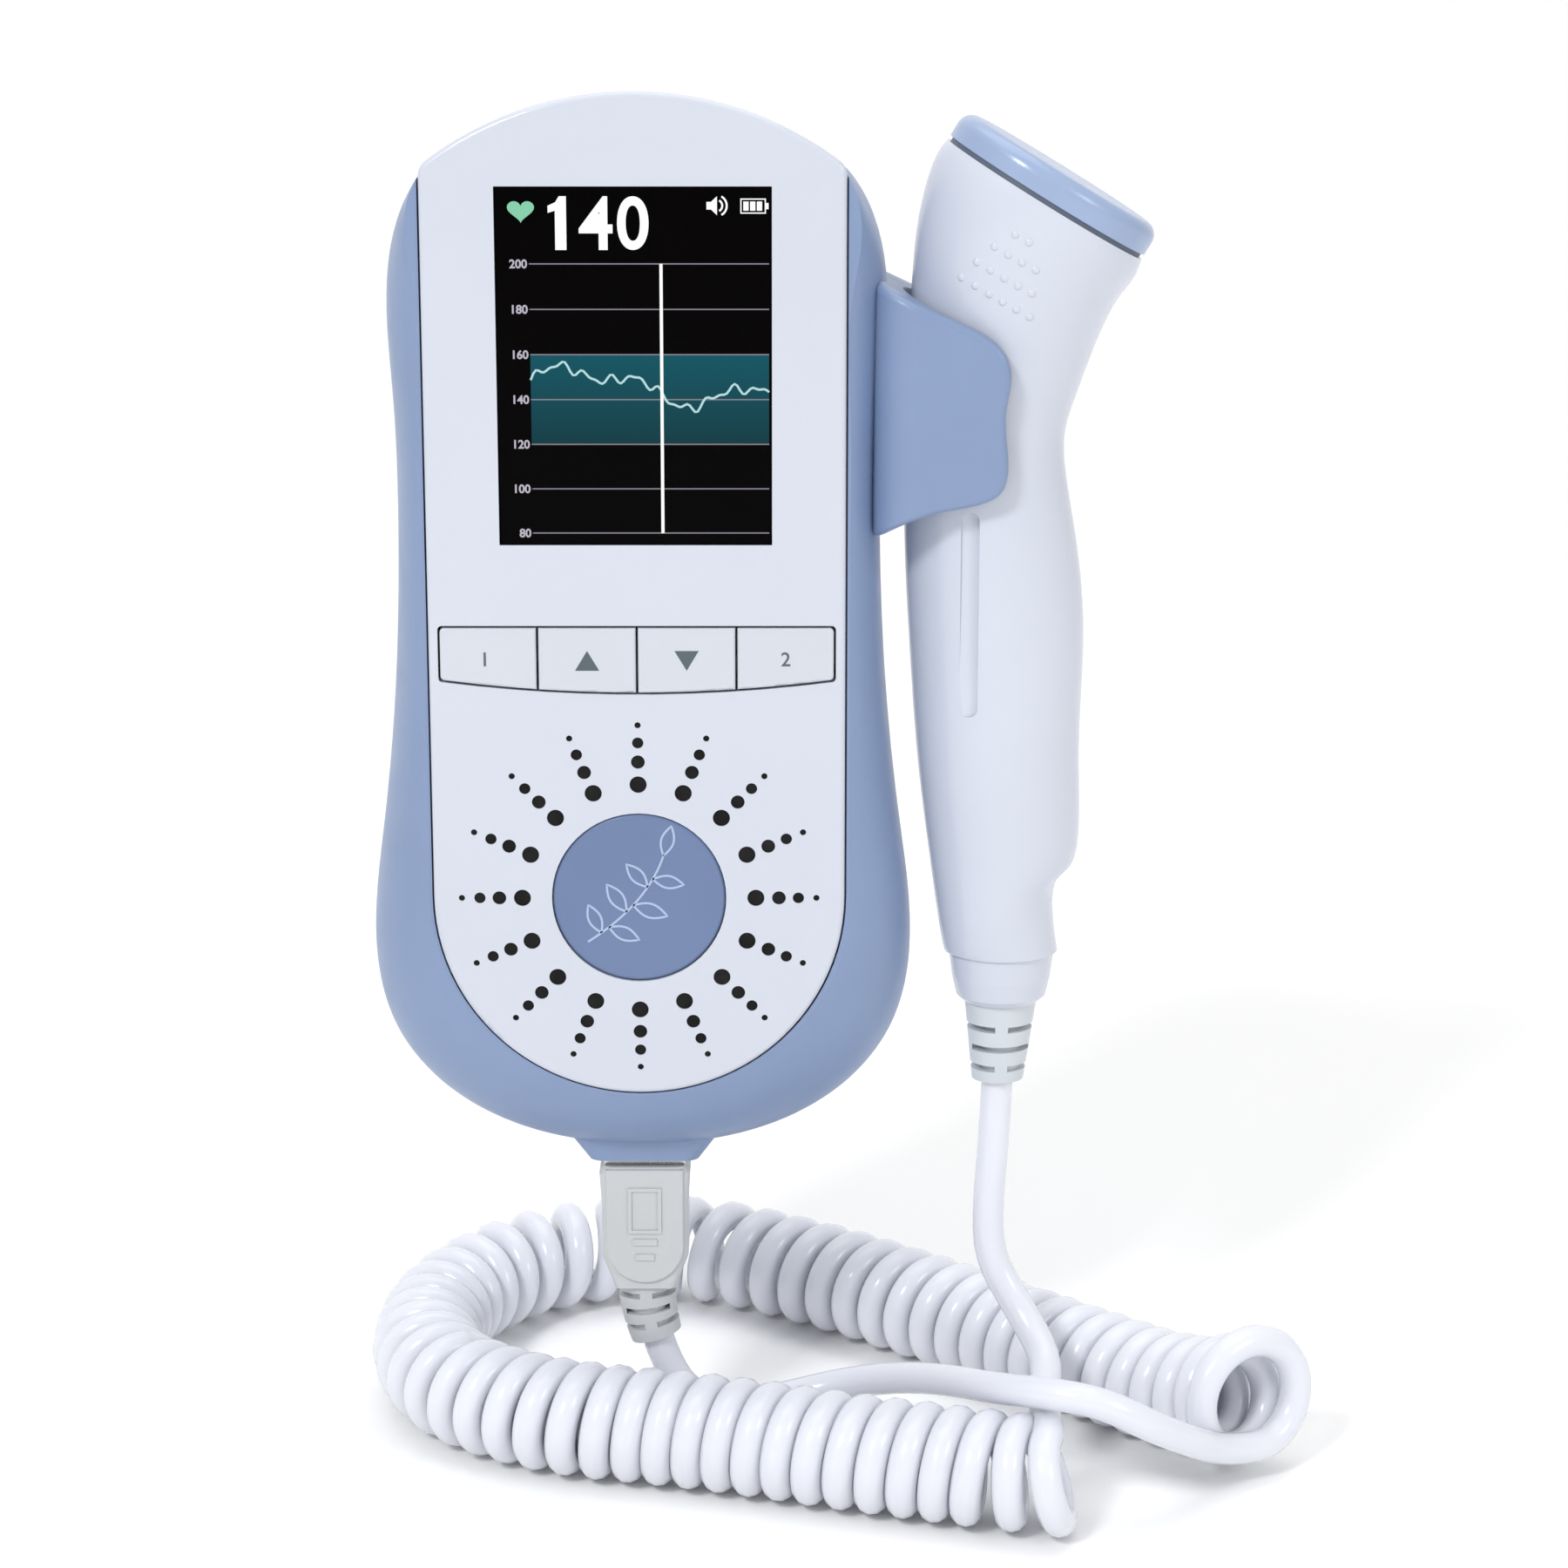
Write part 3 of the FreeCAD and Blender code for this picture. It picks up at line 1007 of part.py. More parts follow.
def seam_disc(inset, start, end):
    """Oval disc parallel to the seam, from start to end along the face's normal."""
    middle, across, out = seam_frame()
    (x0, z0), (x1, z1), half_depth = PROBE_SECTIONS[-1]
    half = math.hypot(x1 - x0, z1 - z0) / 2 - inset
    centre = middle + out * start
    oval = Part.Ellipse(centre + across * half, centre + Vector(0, half_depth - inset, 0), centre)
    return Part.Face(Part.Wire(oval.toShape())).extrude(out * (end - start))


def probe_board_box(grow):
    """The probe's board, made wider by grow on both sides."""
    middle_x = (PROBE_SECTIONS[2][0][0] + PROBE_SECTIONS[2][1][0]) / 2
    half = PROBE_BOARD_HALF + grow
    return box(middle_x - half, middle_x + half, PROBE_Y - PROBE_BOARD_T / 2, PROBE_Y + PROBE_BOARD_T / 2,
               *PROBE_BOARD_Z)


def probe_half(front):
    whole = probe_solid()
    keep = before(PROBE_Y) if front else behind(PROBE_Y)
    levels = Part.makeCompound([box(-FAR, FAR, -FAR, FAR, z, z + RIB_T) for z in RIB_Z])
    ribs = whole.common(levels).cut(probe_board_box(PROBE_BOARD_GAP))
    shell = whole.cut(probe_room()).fuse(ribs).common(keep)
    if front:
        x = HANDLE_X + GROOVE_FROM_LEFT
        groove = box(x - GROOVE_W / 2, x + GROOVE_W / 2, -FAR, PROBE_Y - GROOVE_FLOOR, *GROOVE_Z)
        groove = groove.makeFillet(0.48 * GROOVE_W, upright_edges(groove, FAR + PROBE_Y - GROOVE_FLOOR))
        shell = shell.cut(groove)
    return shell.removeSplitter()


def probe_cap():
    cap = seam_disc(0.0, SEAL_T, CAP_T)
    middle, _, out = seam_frame()
    outer = [e for e in cap.Edges if all(abs((v.Point - middle).dot(out) - CAP_T) < 1e-3 for v in e.Vertexes)]
    return cap.makeFillet(CAP_EDGE_R, outer).cut(seam_disc(PROBE_WALL, SEAL_T - 1, CAP_ROOM))


def cap_seal():
    return seam_disc(SEAL_INSET, 0, SEAL_T).cut(seam_disc(PROBE_WALL, -1, SEAL_T + 1))


def crystals():
    """Sender and receiver: two half discs side by side under the face."""
    middle, across, out = seam_frame()
    disc = Part.makeCylinder(CRYSTAL_R, CRYSTAL_T, middle + out * (CAP_ROOM - CRYSTAL_T), out)
    gap = box(-FAR, FAR, PROBE_Y - CRYSTAL_SPLIT / 2, PROBE_Y + CRYSTAL_SPLIT / 2, -FAR, FAR)
    return disc.cut(gap)


def crystal_backing():
    middle, _, out = seam_frame()
    top = CAP_ROOM - CRYSTAL_T
    return Part.makeCylinder(BACKING_R, BACKING_T, middle + out * (top - BACKING_T), out)


def collar_top():
    """Middle of the probe's lower end."""
    (x0, z), (x1, _), _ = PROBE_SECTIONS[0]
    return (x0 + x1) / 2, z


def probe_collar():
    x, z = collar_top()
    rings = [relief_ring((x, PROBE_Y, z - share * COLLAR_L), half, half * COLLAR_ROUND, 0)
             for share, half in COLLAR_RINGS]
    return Part.makeLoft(rings, True, True)


def probe_strain_relief():
    x, z = collar_top()
    top = z - COLLAR_L
    rings = [relief_ring((x, PROBE_Y, top), *RELIEF_TOP, 0),
             relief_ring((x - RELIEF_LEAN, PROBE_Y, top - RELIEF_L), *RELIEF_END, 0)]
    rows = [(x, PROBE_Y, top - share * RELIEF_L, 0) for share in RELIEF_ROWS]
    return Part.makeLoft(rings, True).cut(relief_slots(rows, RELIEF_TOP[0]))


# ---------------------------------------------------------------- cord

def tube(name, route, radius):
    """Round tube along straight runs that are joined by tangent arcs."""
    points = [Vector(*p) for p in route]
    edges, radii = [], []
    start = points[0]
    length = 0.0
    for before, corner, after in zip(points, points[1:], points[2:]):
        a, b = (before - corner), (after - corner)
        run = min(a.Length, b.Length)
        a.normalize()
        b.normalize()
        turn = math.pi - a.getAngle(b)
        trim = TRIM * run
        bend = trim / math.tan(turn / 2)
        first, last = corner + a * trim, corner + b * trim
        bisector = a + b
        bisector.normalize()
        middle = corner + bisector * (bend / math.cos(turn / 2) - bend)
        edges.append(Part.LineSegment(start, first).toShape())
        edges.append(Part.Arc(first, middle, last).toShape())
        length += (first - start).Length + bend * turn
        radii.append(round(bend, 1))
        start = last
    edges.append(Part.LineSegment(start, points[-1]).toShape())
    length += (points[-1] - start).Length
    path = Part.Wire(edges)
    circle = Part.Wire(Part.Circle(points[0], points[1] - points[0], radius).toShape())
    solid = path.makePipeShell([circle], True, False)
    wanted = math.pi * radius ** 2 * length
    print(name, "radii", radii, "length %.1f" % length, "volume ratio %.4f" % (solid.Volume / wanted))
    return solid


# ---------------------------------------------------------------- write every piece

PIECES = {
    "front_casing": front_casing,
    "rear_casing": rear_casing,
    "front_panel": front_panel,
    "screen_window": screen_window,
    "display_module": display_module,
    "display_frame": display_frame,
    "key_left": lambda: key(0),
    "key_up": lambda: key(1),
    "key_down": lambda: key(2),
    "key_right": lambda: key(3),
    "key_mat": key_mat,
    "tact_switches": tact_switches,
    "main_board": main_board,
    "board_parts": board_parts,
    "board_screws": board_screws,
    "casing_screws": casing_screws,
    "centre_disc": centre_disc,
    "speaker_gasket": speaker_gasket,
    "speaker_frame": speaker_frame,
    "speaker_cone": speaker_cone,
    "speaker_magnet": speaker_magnet,
    "battery_cells": battery_cells,
    "battery_contacts": battery_contacts,
    "battery_door": battery_door,
    "connector_socket": connector_socket,
    "plug_shell": plug_shell,
    "plug_body": plug_body,
    "plug_strain_relief": plug_strain_relief,
    "probe_holder": probe_holder,
    "probe_front_shell": lambda: probe_half(True),
    "probe_rear_shell": lambda: probe_half(False),
    "probe_cap": probe_cap,
    "cap_seal": cap_seal,
    "crystals": crystals,
    "crystal_backing": crystal_backing,
    "probe_board": lambda: probe_board_box(0),
    "probe_collar": probe_collar,
    "probe_strain_relief": probe_strain_relief,
    "plug_cable": lambda: tube("plug_cable", PLUG_ROUTE, CABLE_R),
    "probe_cable": lambda: tube("probe_cable", PROBE_ROUTE, CABLE_R),
    "curly_cord": lambda: tube("curly_cord", COIL_ROUTE, COIL_R),
}

for piece, make in PIECES.items():
    shape = make()
    print("%-20s solids %d  valid %s  volume %.1f" % (piece, len(shape.Solids), shape.isValid(), shape.Volume))
    export(piece, shape)
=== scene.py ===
import bpy
import math
from bisect import bisect_right
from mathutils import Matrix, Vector


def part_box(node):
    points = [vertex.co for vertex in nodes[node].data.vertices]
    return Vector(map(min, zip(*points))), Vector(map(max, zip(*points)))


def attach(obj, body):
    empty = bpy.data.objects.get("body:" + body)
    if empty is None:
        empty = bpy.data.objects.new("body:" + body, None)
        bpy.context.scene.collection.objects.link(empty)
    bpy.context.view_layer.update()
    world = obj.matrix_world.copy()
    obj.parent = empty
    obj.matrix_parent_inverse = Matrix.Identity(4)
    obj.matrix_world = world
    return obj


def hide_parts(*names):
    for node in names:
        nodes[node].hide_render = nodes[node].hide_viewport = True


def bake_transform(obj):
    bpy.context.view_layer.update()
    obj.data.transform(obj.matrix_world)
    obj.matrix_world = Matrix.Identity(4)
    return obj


# Hand-held fetal doppler, dressed around its CAD frame. Metres, x right, y back, z up.
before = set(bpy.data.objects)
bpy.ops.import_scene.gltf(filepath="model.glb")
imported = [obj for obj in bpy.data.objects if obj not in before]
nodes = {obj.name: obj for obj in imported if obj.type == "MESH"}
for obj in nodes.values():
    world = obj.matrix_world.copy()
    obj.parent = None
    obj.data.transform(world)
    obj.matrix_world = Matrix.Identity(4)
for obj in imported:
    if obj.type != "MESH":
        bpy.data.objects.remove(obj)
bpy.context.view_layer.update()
MM = 0.001


# ---------------------------------------------------------------- casing halves, door and clip
# ABS shells, injection moulded in one pale blue and screwed together from behind, with a battery
# door of the same. The mould is finely spark-eroded, so the blue is satin and shows no flow marks.

CASING_BLUE = "7b8eb0"
CASING_GRAIN = 0.45 * MM      # real grain is about 0.15 mm, drawn coarser so that it shows


def linear(code):
    """An sRGB hex colour as linear red, green, blue and alpha."""
    parts = [int(code[i:i + 2], 16) / 255 for i in (0, 2, 4)]
    return [p / 12.92 if p <= 0.04045 else ((p + 0.055) / 1.055) ** 2.4 for p in parts] + [1.0]


def add_node(tree, kind, inputs=(), **settings):
    """Adds a shader node. Each input is a value or another node's output."""
    node = tree.nodes.new("ShaderNode" + kind)
    for name, value in settings.items():
        setattr(node, name, value)
    for name, value in dict(inputs).items():
        if isinstance(value, bpy.types.NodeSocket):
            tree.links.new(value, node.inputs[name])
        else:
            node.inputs[name].default_value = value
    return node


def new_material(name, sockets):
    """A material, its node tree, its shader and where on the object a point is."""
    material = bpy.data.materials.new(name)
    material.use_nodes = True
    tree = material.node_tree
    shader = tree.nodes["Principled BSDF"]
    for socket, value in sockets.items():
        shader.inputs[socket].default_value = value
    return material, tree, shader, add_node(tree, "TexCoord").outputs["Object"]


def moulded(name, colour, roughness, grain, relief, mottle=0.03, ior=1.5):
    """Moulded plastic: a colour that drifts a little, a gloss that is uneven as handling leaves it,
    and the mould's grain as relief. Grain and relief are in metres."""
    material, tree, shader, place = new_material(name, {"IOR": ior})
    drift = add_node(tree, "TexNoise", {"Vector": place, "Scale": 1 / (18 * MM), "Detail": 3.0})
    tint = add_node(tree, "ValToRGB", {"Fac": drift.outputs["Fac"]})
    for stop, position, shade in zip(tint.color_ramp.elements, (0.3, 0.7), (1 - mottle, 1 + mottle)):
        stop.position = position
        stop.color = [min(1.0, c * shade) for c in linear(colour)[:3]] + [1.0]
    smears = add_node(tree, "TexNoise", {"Vector": place, "Scale": 1 / (5 * MM), "Detail": 4.0})
    gloss = add_node(tree, "MapRange", {"Value": smears.outputs["Fac"], "From Min": 0.3, "From Max": 0.7,
                                        "To Min": roughness * 0.88, "To Max": roughness * 1.12})
    pits = add_node(tree, "TexNoise", {"Vector": place, "Scale": 1 / grain, "Detail": 2.0})
    bump = add_node(tree, "Bump", {"Height": pits.outputs["Fac"], "Distance": relief, "Strength": 1.0})
    tree.links.new(tint.outputs["Color"], shader.inputs["Base Color"])
    tree.links.new(gloss.outputs["Result"], shader.inputs["Roughness"])
    tree.links.new(bump.outputs["Normal"], shader.inputs["Normal"])
    return material


def made_of(material, *names):
    """Gives CAD nodes that material."""
    for name in names:
        for holder in nodes[name].material_slots:
            holder.material = material


made_of(moulded("spark_eroded_blue_abs", CASING_BLUE, 0.38, CASING_GRAIN, 0.006 * MM, ior=1.53),
        "rear_casing", "front_casing", "battery_door", "probe_holder")

# ---------------------------------------------------------------- screws
# Four cross-head screws of zinc-plated steel that hold the casing halves together, and four small
# slotted ones that hold the board on the panel's posts. The plating is bright with a fine grain.

SCREW_STEEL = "b9bcc2"


def plated(name, colour, roughness, grain):
    """Plated or rolled metal: bright, with fine streaks that scatter its reflections."""
    material, tree, shader, place = new_material(name, {"Metallic": 1.0, "Base Color": linear(colour)})
    squeezed = add_node(tree, "Mapping", {"Vector": place, "Scale": (1.0, 1.0, 0.15)})
    streaks = add_node(tree, "TexNoise", {"Vector": squeezed.outputs["Vector"], "Scale": 1 / grain,
                                          "Detail": 3.0})
    gloss = add_node(tree, "MapRange", {"Value": streaks.outputs["Fac"], "From Min": 0.3, "From Max": 0.7,
                                        "To Min": roughness * 0.7, "To Max": roughness * 1.3})
    bump = add_node(tree, "Bump", {"Height": streaks.outputs["Fac"], "Distance": 0.003 * MM})
    tree.links.new(gloss.outputs["Result"], shader.inputs["Roughness"])
    tree.links.new(bump.outputs["Normal"], shader.inputs["Normal"])
    return material


made_of(plated("zinc_plated_steel", SCREW_STEEL, 0.3, 0.5 * MM), "casing_screws", "board_screws")

# ---------------------------------------------------------------- front panel
# White cover of high-gloss ABS, let into the front casing. Its mould is polished, so only a slow
# waviness bends the reflections, as on any large glossy moulding.

PANEL_WHITE = "c3c8d3"

made_of(moulded("polished_white_abs", PANEL_WHITE, 0.14, 6 * MM, 0.006 * MM, mottle=0.008, ior=1.53),
        "front_panel")

# ---------------------------------------------------------------- screen window and display
# Clear acrylic window over a 2.4 inch colour display in a white frame. The two look like one black
# pane where nothing is lit, and a hard anti-glare coat keeps its reflections weak.

WINDOW_BLACK = "030202"
DISPLAY_GLASS = "0b0c10"
FRAME_WHITE = "dcdcd8"
ANTI_GLARE = 0.03              # specular level, against 0.5 without the coat

coated_acrylic = moulded("anti_glare_acrylic", WINDOW_BLACK, 0.1, 3 * MM, 0.001 * MM, ior=1.49)
coated_acrylic.node_tree.nodes["Principled BSDF"].inputs["Specular IOR Level"].default_value = ANTI_GLARE
made_of(coated_acrylic, "screen_window")
made_of(moulded("display_cell_glass", DISPLAY_GLASS, 0.08, 3 * MM, 0.001 * MM, ior=1.52), "display_module")
made_of(moulded("matt_white_frame", FRAME_WHITE, 0.5, 0.5 * MM, 0.004 * MM, ior=1.53), "display_frame")

# ---------------------------------------------------------------- lit picture
# What the lit display shows: a pulse reading, a chart with its scale, the band of usual pulses and
# a trace, and small signs for pulse, sound and battery. It is drawn on the window's front.

PICTURE_T = 0.02 * MM
MARGIN_L = 4.5 * MM           # from the window's left edge to the chart
MARGIN_R = 0.3 * MM           # and from the chart to the right edge
CHART_TOP = 10.15 * MM        # from the window's upper edge to the chart's highest line
CHART_STEP = 6.06 * MM        # from one line to the next
SCALE = range(200, 60, -20)
BAND = (160, 120)
LINE_W = 0.16 * MM
DIGIT_H = 1.2 * MM
DIGIT_GAP = 0.25 * MM         # between the scale's figures and the chart
READING = (("4", 11.2, 15.7), ("0", 16.3, 20.5))      # figure, left and right in mm
# Outline of the reading's first figure, in mm across and down from the window's corner.
ONE = ((8.05, 8.3), (9.55, 8.3), (9.55, 1.2), (8.6, 1.2), (8.1, 2.0), (7.1, 2.45), (7.1, 3.4), (8.05, 3.1))
READING_FOOT = 8.3 * MM       # from the window's upper edge
READING_HEAD = 1.2 * MM
BATTERY_BOX = (32.7 * MM, 36.1 * MM, 3.5 * MM, 1.5 * MM)
BATTERY_BARS = (0.4, 1.3, 2.2)          # mm from the sign's left
BATTERY_BAR_W = 0.7                     # mm
BATTERY_ROOM = 0.4 * MM       # above and below the bars
BATTERY_TIP = (0.35 * MM, 0.6 * MM)     # how far it stands out, and its room above and below
CURSOR_X = 22.1 * MM
CURSOR_W = 0.42 * MM
HEART_AT = (3.5 * MM, 3.05 * MM)
HEART_W = 3.6 * MM
HEART_STEPS = 48
SOUND_AT = (29.5 * MM, 2.45 * MM)
HORN = ((-1.3, -0.5), (-0.7, -0.5), (0.1, -1.25), (0.1, 1.25), (-0.7, 0.5), (-1.3, 0.5))     # mm
SOUND_ARCS = (0.8 * MM, 1.4 * MM)
SOUND_ARC_W = 0.26 * MM
TRACE_W = 0.3 * MM
TRACE_STEPS = 90
TEAL_FOOT = "163e46"
TEAL_HEAD = "175764"
GRID_GREY = "8f8a96"
SCALE_LILAC = "c6c0ce"
TRACE_CYAN = "bfe6ea"
HEART_MINT = "8fd9b5"
SIGN_WHITE = "ffffff"

window_low, window_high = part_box("screen_window")
picture_y = window_low[1]


def in_window(across, down):
    """The x and z of a point that far from the window's left and upper edges."""
    return window_low[0] + across, window_high[2] - down


def flat_piece(name, outlines, front_y, thickness, material, body):
    """Thin shapes laid on a surface that faces forward. Each outline is a closed round of x and z."""
    corners, faces = [], []
    for outline in outlines:
        first, count = len(corners), len(outline)
        corners += [(x, front_y - thickness, z) for x, z in outline]
        corners += [(x, front_y, z) for x, z in outline]
        faces.append([first + i for i in range(count)])
        faces.append([first + count + i for i in reversed(range(count))])
        faces += [[first + (i + 1) % count, first + i, first + count + i,
                   first + count + (i + 1) % count]
                  for i in range(count)]
    mesh = bpy.data.meshes.new(name)
    mesh.from_pydata(corners, [], faces)
    mesh.materials.append(material)
    piece = bpy.data.objects.new(name, mesh)
    bpy.context.scene.collection.objects.link(piece)
    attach(piece, body)


def bar(left, right, foot, head):
    """Upright rectangle, by two x and two z."""
    return [(left, foot), (right, foot), (right, head), (left, head)]


def ribbon(points, width):
    """Four-sided shapes that follow a line of x and z at one width."""
    sides = []
    for i, (x, z) in enumerate(points):
        before, after = points[max(i - 1, 0)], points[min(i + 1, len(points) - 1)]
        along = math.hypot(after[0] - before[0], after[1] - before[1])
        out_x = -(after[1] - before[1]) / along * width / 2
        out_z = (after[0] - before[0]) / along * width / 2
        sides.append(((x - out_x, z - out_z), (x + out_x, z + out_z)))
    return [[a[0], b[0], b[1], a[1]] for a, b in zip(sides, sides[1:])]


def figures(words, foot, head, left=None, right=None, weight=0.0):
    """Shapes of figures between two heights. Given both sides, they are drawn out to fill them, and
    given one, they start or end there. Weight thickens their strokes."""
    text = bpy.data.curves.new("figures", "FONT")
    text.body = words
    text.offset = weight
    holder = bpy.data.objects.new("figures", text)
    mesh = bpy.data.meshes.new_from_object(holder)
    xs = [v.co.x for v in mesh.vertices]
    ys = [v.co.y for v in mesh.vertices]
    grow = (head - foot) / (max(ys) - min(ys))
    width = (max(xs) - min(xs)) * grow
    left = right - width if left is None else left
    right = left + width if right is None else right
    stretch = (right - left) / (max(xs) - min(xs))
    spots = [(left + (x - min(xs)) * stretch, foot + (y - min(ys)) * grow) for x, y in zip(xs, ys)]
    shapes = [[spots[i] for i in face.vertices] for face in mesh.polygons]
    bpy.data.objects.remove(holder)
    bpy.data.meshes.remove(mesh)
    return shapes


def lit(name, colour, brightness=1.0):
    """A patch of the display that gives its own light, through a fine grid of dots."""
    material, tree, shader, place = new_material(name, {"Base Color": (0, 0, 0, 1), "Roughness": 0.12,
                                                        "Specular IOR Level": ANTI_GLARE,
                                                        "Emission Strength": brightness})
    dots = add_node(tree, "TexVoronoi", {"Vector": place, "Scale": 1 / (0.3 * MM), "Randomness": 0.0})
    glow = add_node(tree, "ValToRGB", {"Fac": dots.outputs["Distance"]})
    glow.color_ramp.elements[0].color = linear(colour)
    glow.color_ramp.elements[1].color = [c * 0.86 for c in linear(colour)[:3]] + [1.0]
    tree.links.new(glow.outputs["Color"], shader.inputs["Emission Color"])
    return material


def height_of(pulse):
    """The z at which the chart shows that pulse."""
    return window_high[2] - CHART_TOP - (SCALE[0] - pulse) / 20 * CHART_STEP


chart_l = window_low[0] + MARGIN_L
chart_r = window_high[0] - MARGIN_R
band_glow, tree, shader, place = new_material("lit_teal", {"Base Color": (0, 0, 0, 1), "Roughness": 0.12,
                                                           "Specular IOR Level": ANTI_GLARE,
                                                           "Emission Strength": 1.0})
upright = add_node(tree, "SeparateXYZ", {"Vector": place})
height = add_node(tree, "MapRange", {"Value": upright.outputs["Z"], "From Min": height_of(BAND[1]),
                                     "From Max": height_of(BAND[0])})
teal = add_node(tree, "ValToRGB", {"Fac": height.outputs["Result"]})
teal.color_ramp.elements[0].color = linear(TEAL_FOOT)
teal.color_ramp.elements[1].color = linear(TEAL_HEAD)
tree.links.new(teal.outputs["Color"], shader.inputs["Emission Color"])
flat_piece("picture_band", [bar(chart_l, chart_r, height_of(BAND[1]), height_of(BAND[0]))], picture_y,
           PICTURE_T, band_glow, "monitor")

lines = [bar(chart_l, chart_r, height_of(pulse) - LINE_W / 2, height_of(pulse) + LINE_W / 2)
         for pulse in SCALE]
flat_piece("picture_lines", lines, picture_y, 2 * PICTURE_T, lit("lit_grey", GRID_GREY), "monitor")
scale = []
for pulse in SCALE:
    scale += figures(str(pulse), height_of(pulse) - DIGIT_H / 2, height_of(pulse) + DIGIT_H / 2,
                     right=chart_l - DIGIT_GAP, weight=0.025)
flat_piece("picture_scale", scale, picture_y, 2 * PICTURE_T, lit("lit_lilac", SCALE_LILAC), "monitor")

# A slow swell about a pulse of 146, with smaller and quicker ones on it.
trace = []
for i in range(TRACE_STEPS + 1):
    s = i / TRACE_STEPS
    beat = (146 + 7 * math.sin(6.1 * s + 0.4) + 3.2 * math.sin(17 * s) + 1.5 * math.sin(61 * s)
            + math.sin(97 * s))
    trace.append((chart_l + s * (chart_r - chart_l), height_of(beat)))
flat_piece("picture_trace", ribbon(trace, TRACE_W), picture_y, 3 * PICTURE_T,
           lit("lit_pale_cyan", TRACE_CYAN), "monitor")

# The usual heart curve, whose height is a sum of cosines.
heart_x, heart_z = in_window(*HEART_AT)
heart = []
for i in range(HEART_STEPS):
    a = -math.tau * i / HEART_STEPS
    rise = 13 * math.cos(a) - 5 * math.cos(2 * a) - 2 * math.cos(3 * a) - math.cos(4 * a)
    heart.append((heart_x + HEART_W / 2 * math.sin(a) ** 3, heart_z + HEART_W / 36 * rise))
flat_piece("picture_heart", [heart], picture_y, 2 * PICTURE_T, lit("lit_mint", HEART_MINT), "monitor")

white = [[in_window(x * MM, z * MM) for x, z in ONE]]
for figure, left, right in READING:
    white += figures(figure, window_high[2] - READING_FOOT, window_high[2] - READING_HEAD,
                     window_low[0] + left * MM, window_low[0] + right * MM, weight=0.016)
cursor_x = window_low[0] + CURSOR_X
white.append(bar(cursor_x - CURSOR_W / 2, cursor_x + CURSOR_W / 2, height_of(SCALE[-1]),
                 height_of(SCALE[0])))
sound_x, sound_z = in_window(*SOUND_AT)
white.append([(sound_x + x * MM, sound_z + z * MM) for x, z in HORN])
for radius in SOUND_ARCS:
    turns = [math.radians(60 - 12 * i) for i in range(11)]
    white += ribbon([(sound_x + radius * math.cos(a), sound_z + radius * math.sin(a)) for a in turns],
                    SOUND_ARC_W)
left, foot = in_window(BATTERY_BOX[0], BATTERY_BOX[2])
right, head = in_window(BATTERY_BOX[1], BATTERY_BOX[3])
white += [bar(left, right, foot, foot + LINE_W), bar(left, right, head - LINE_W, head),
          bar(left, left + LINE_W, foot + LINE_W, head - LINE_W),
          bar(right - LINE_W, right, foot + LINE_W, head - LINE_W),
          bar(right, right + BATTERY_TIP[0], foot + BATTERY_TIP[1], head - BATTERY_TIP[1])]
white += [bar(left + x * MM, left + (x + BATTERY_BAR_W) * MM, foot + BATTERY_ROOM, head - BATTERY_ROOM)
          for x in BATTERY_BARS]
flat_piece("picture_white", white, picture_y, 4 * PICTURE_T, lit("lit_white", SIGN_WHITE, 1.1), "monitor")

# ---------------------------------------------------------------- keys
# Four keys of the panel's gloss ABS, side by side with a fine gap. Each has a pad-printed mark in
# matt dark grey ink, which stands a few hundredths of a millimetre proud.

KEY_WHITE = "c2c6cf"
INK_GREY = "4d5961"
INK_T = 0.03 * MM
FIGURE_H = 1.95 * MM
FIGURE_HALF = 0.6 * MM         # from the key's middle to the figure's left
ARROW_W = 3.3 * MM
ARROW_H = 2.75 * MM

made_of(moulded("polished_key_abs", KEY_WHITE, 0.16, 5 * MM, 0.004 * MM, mottle=0.008, ior=1.53),
        "key_left", "key_up", "key_down", "key_right")
ink = moulded("printed_grey_ink", INK_GREY, 0.55, 0.3 * MM, 0.004 * MM, mottle=0.06)


def key_middle(name):
    """The x, front y and z of the middle of a key's face."""
    low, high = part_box(name)
    return (low[0] + high[0]) / 2, low[1], (low[2] + high[2]) / 2


for name, figure in (("left", "1"), ("right", "2")):
    x, front, z = key_middle("key_" + name)
    shapes = figures(figure, z - FIGURE_H / 2, z + FIGURE_H / 2, left=x - FIGURE_HALF, weight=0.008)
    flat_piece("mark_" + name, shapes, front, INK_T, ink, name + "_key")
for name, point in (("up", 1), ("down", -1)):
    x, front, z = key_middle("key_" + name)
    arrow = [(x - point * ARROW_W / 2, z - point * ARROW_H / 2),
             (x + point * ARROW_W / 2, z - point * ARROW_H / 2), (x, z + point * ARROW_H / 2)]
    flat_piece("mark_" + name, [arrow], front, INK_T, ink, name + "_key")

# ---------------------------------------------------------------- board and key switches
# Glass-fibre board with a green solder mask, carried on the panel's posts. Its chips are moulded in
# black epoxy, and a sheet of milky silicone keeps dust from the switches behind the keys.

MASK_GREEN = "14523a"
COPPER_GREEN = "2c7a52"
EPOXY_BLACK = "1c1c1e"
SILICONE = "d6d8d4"
TRACK_PITCH = 1.3 * MM

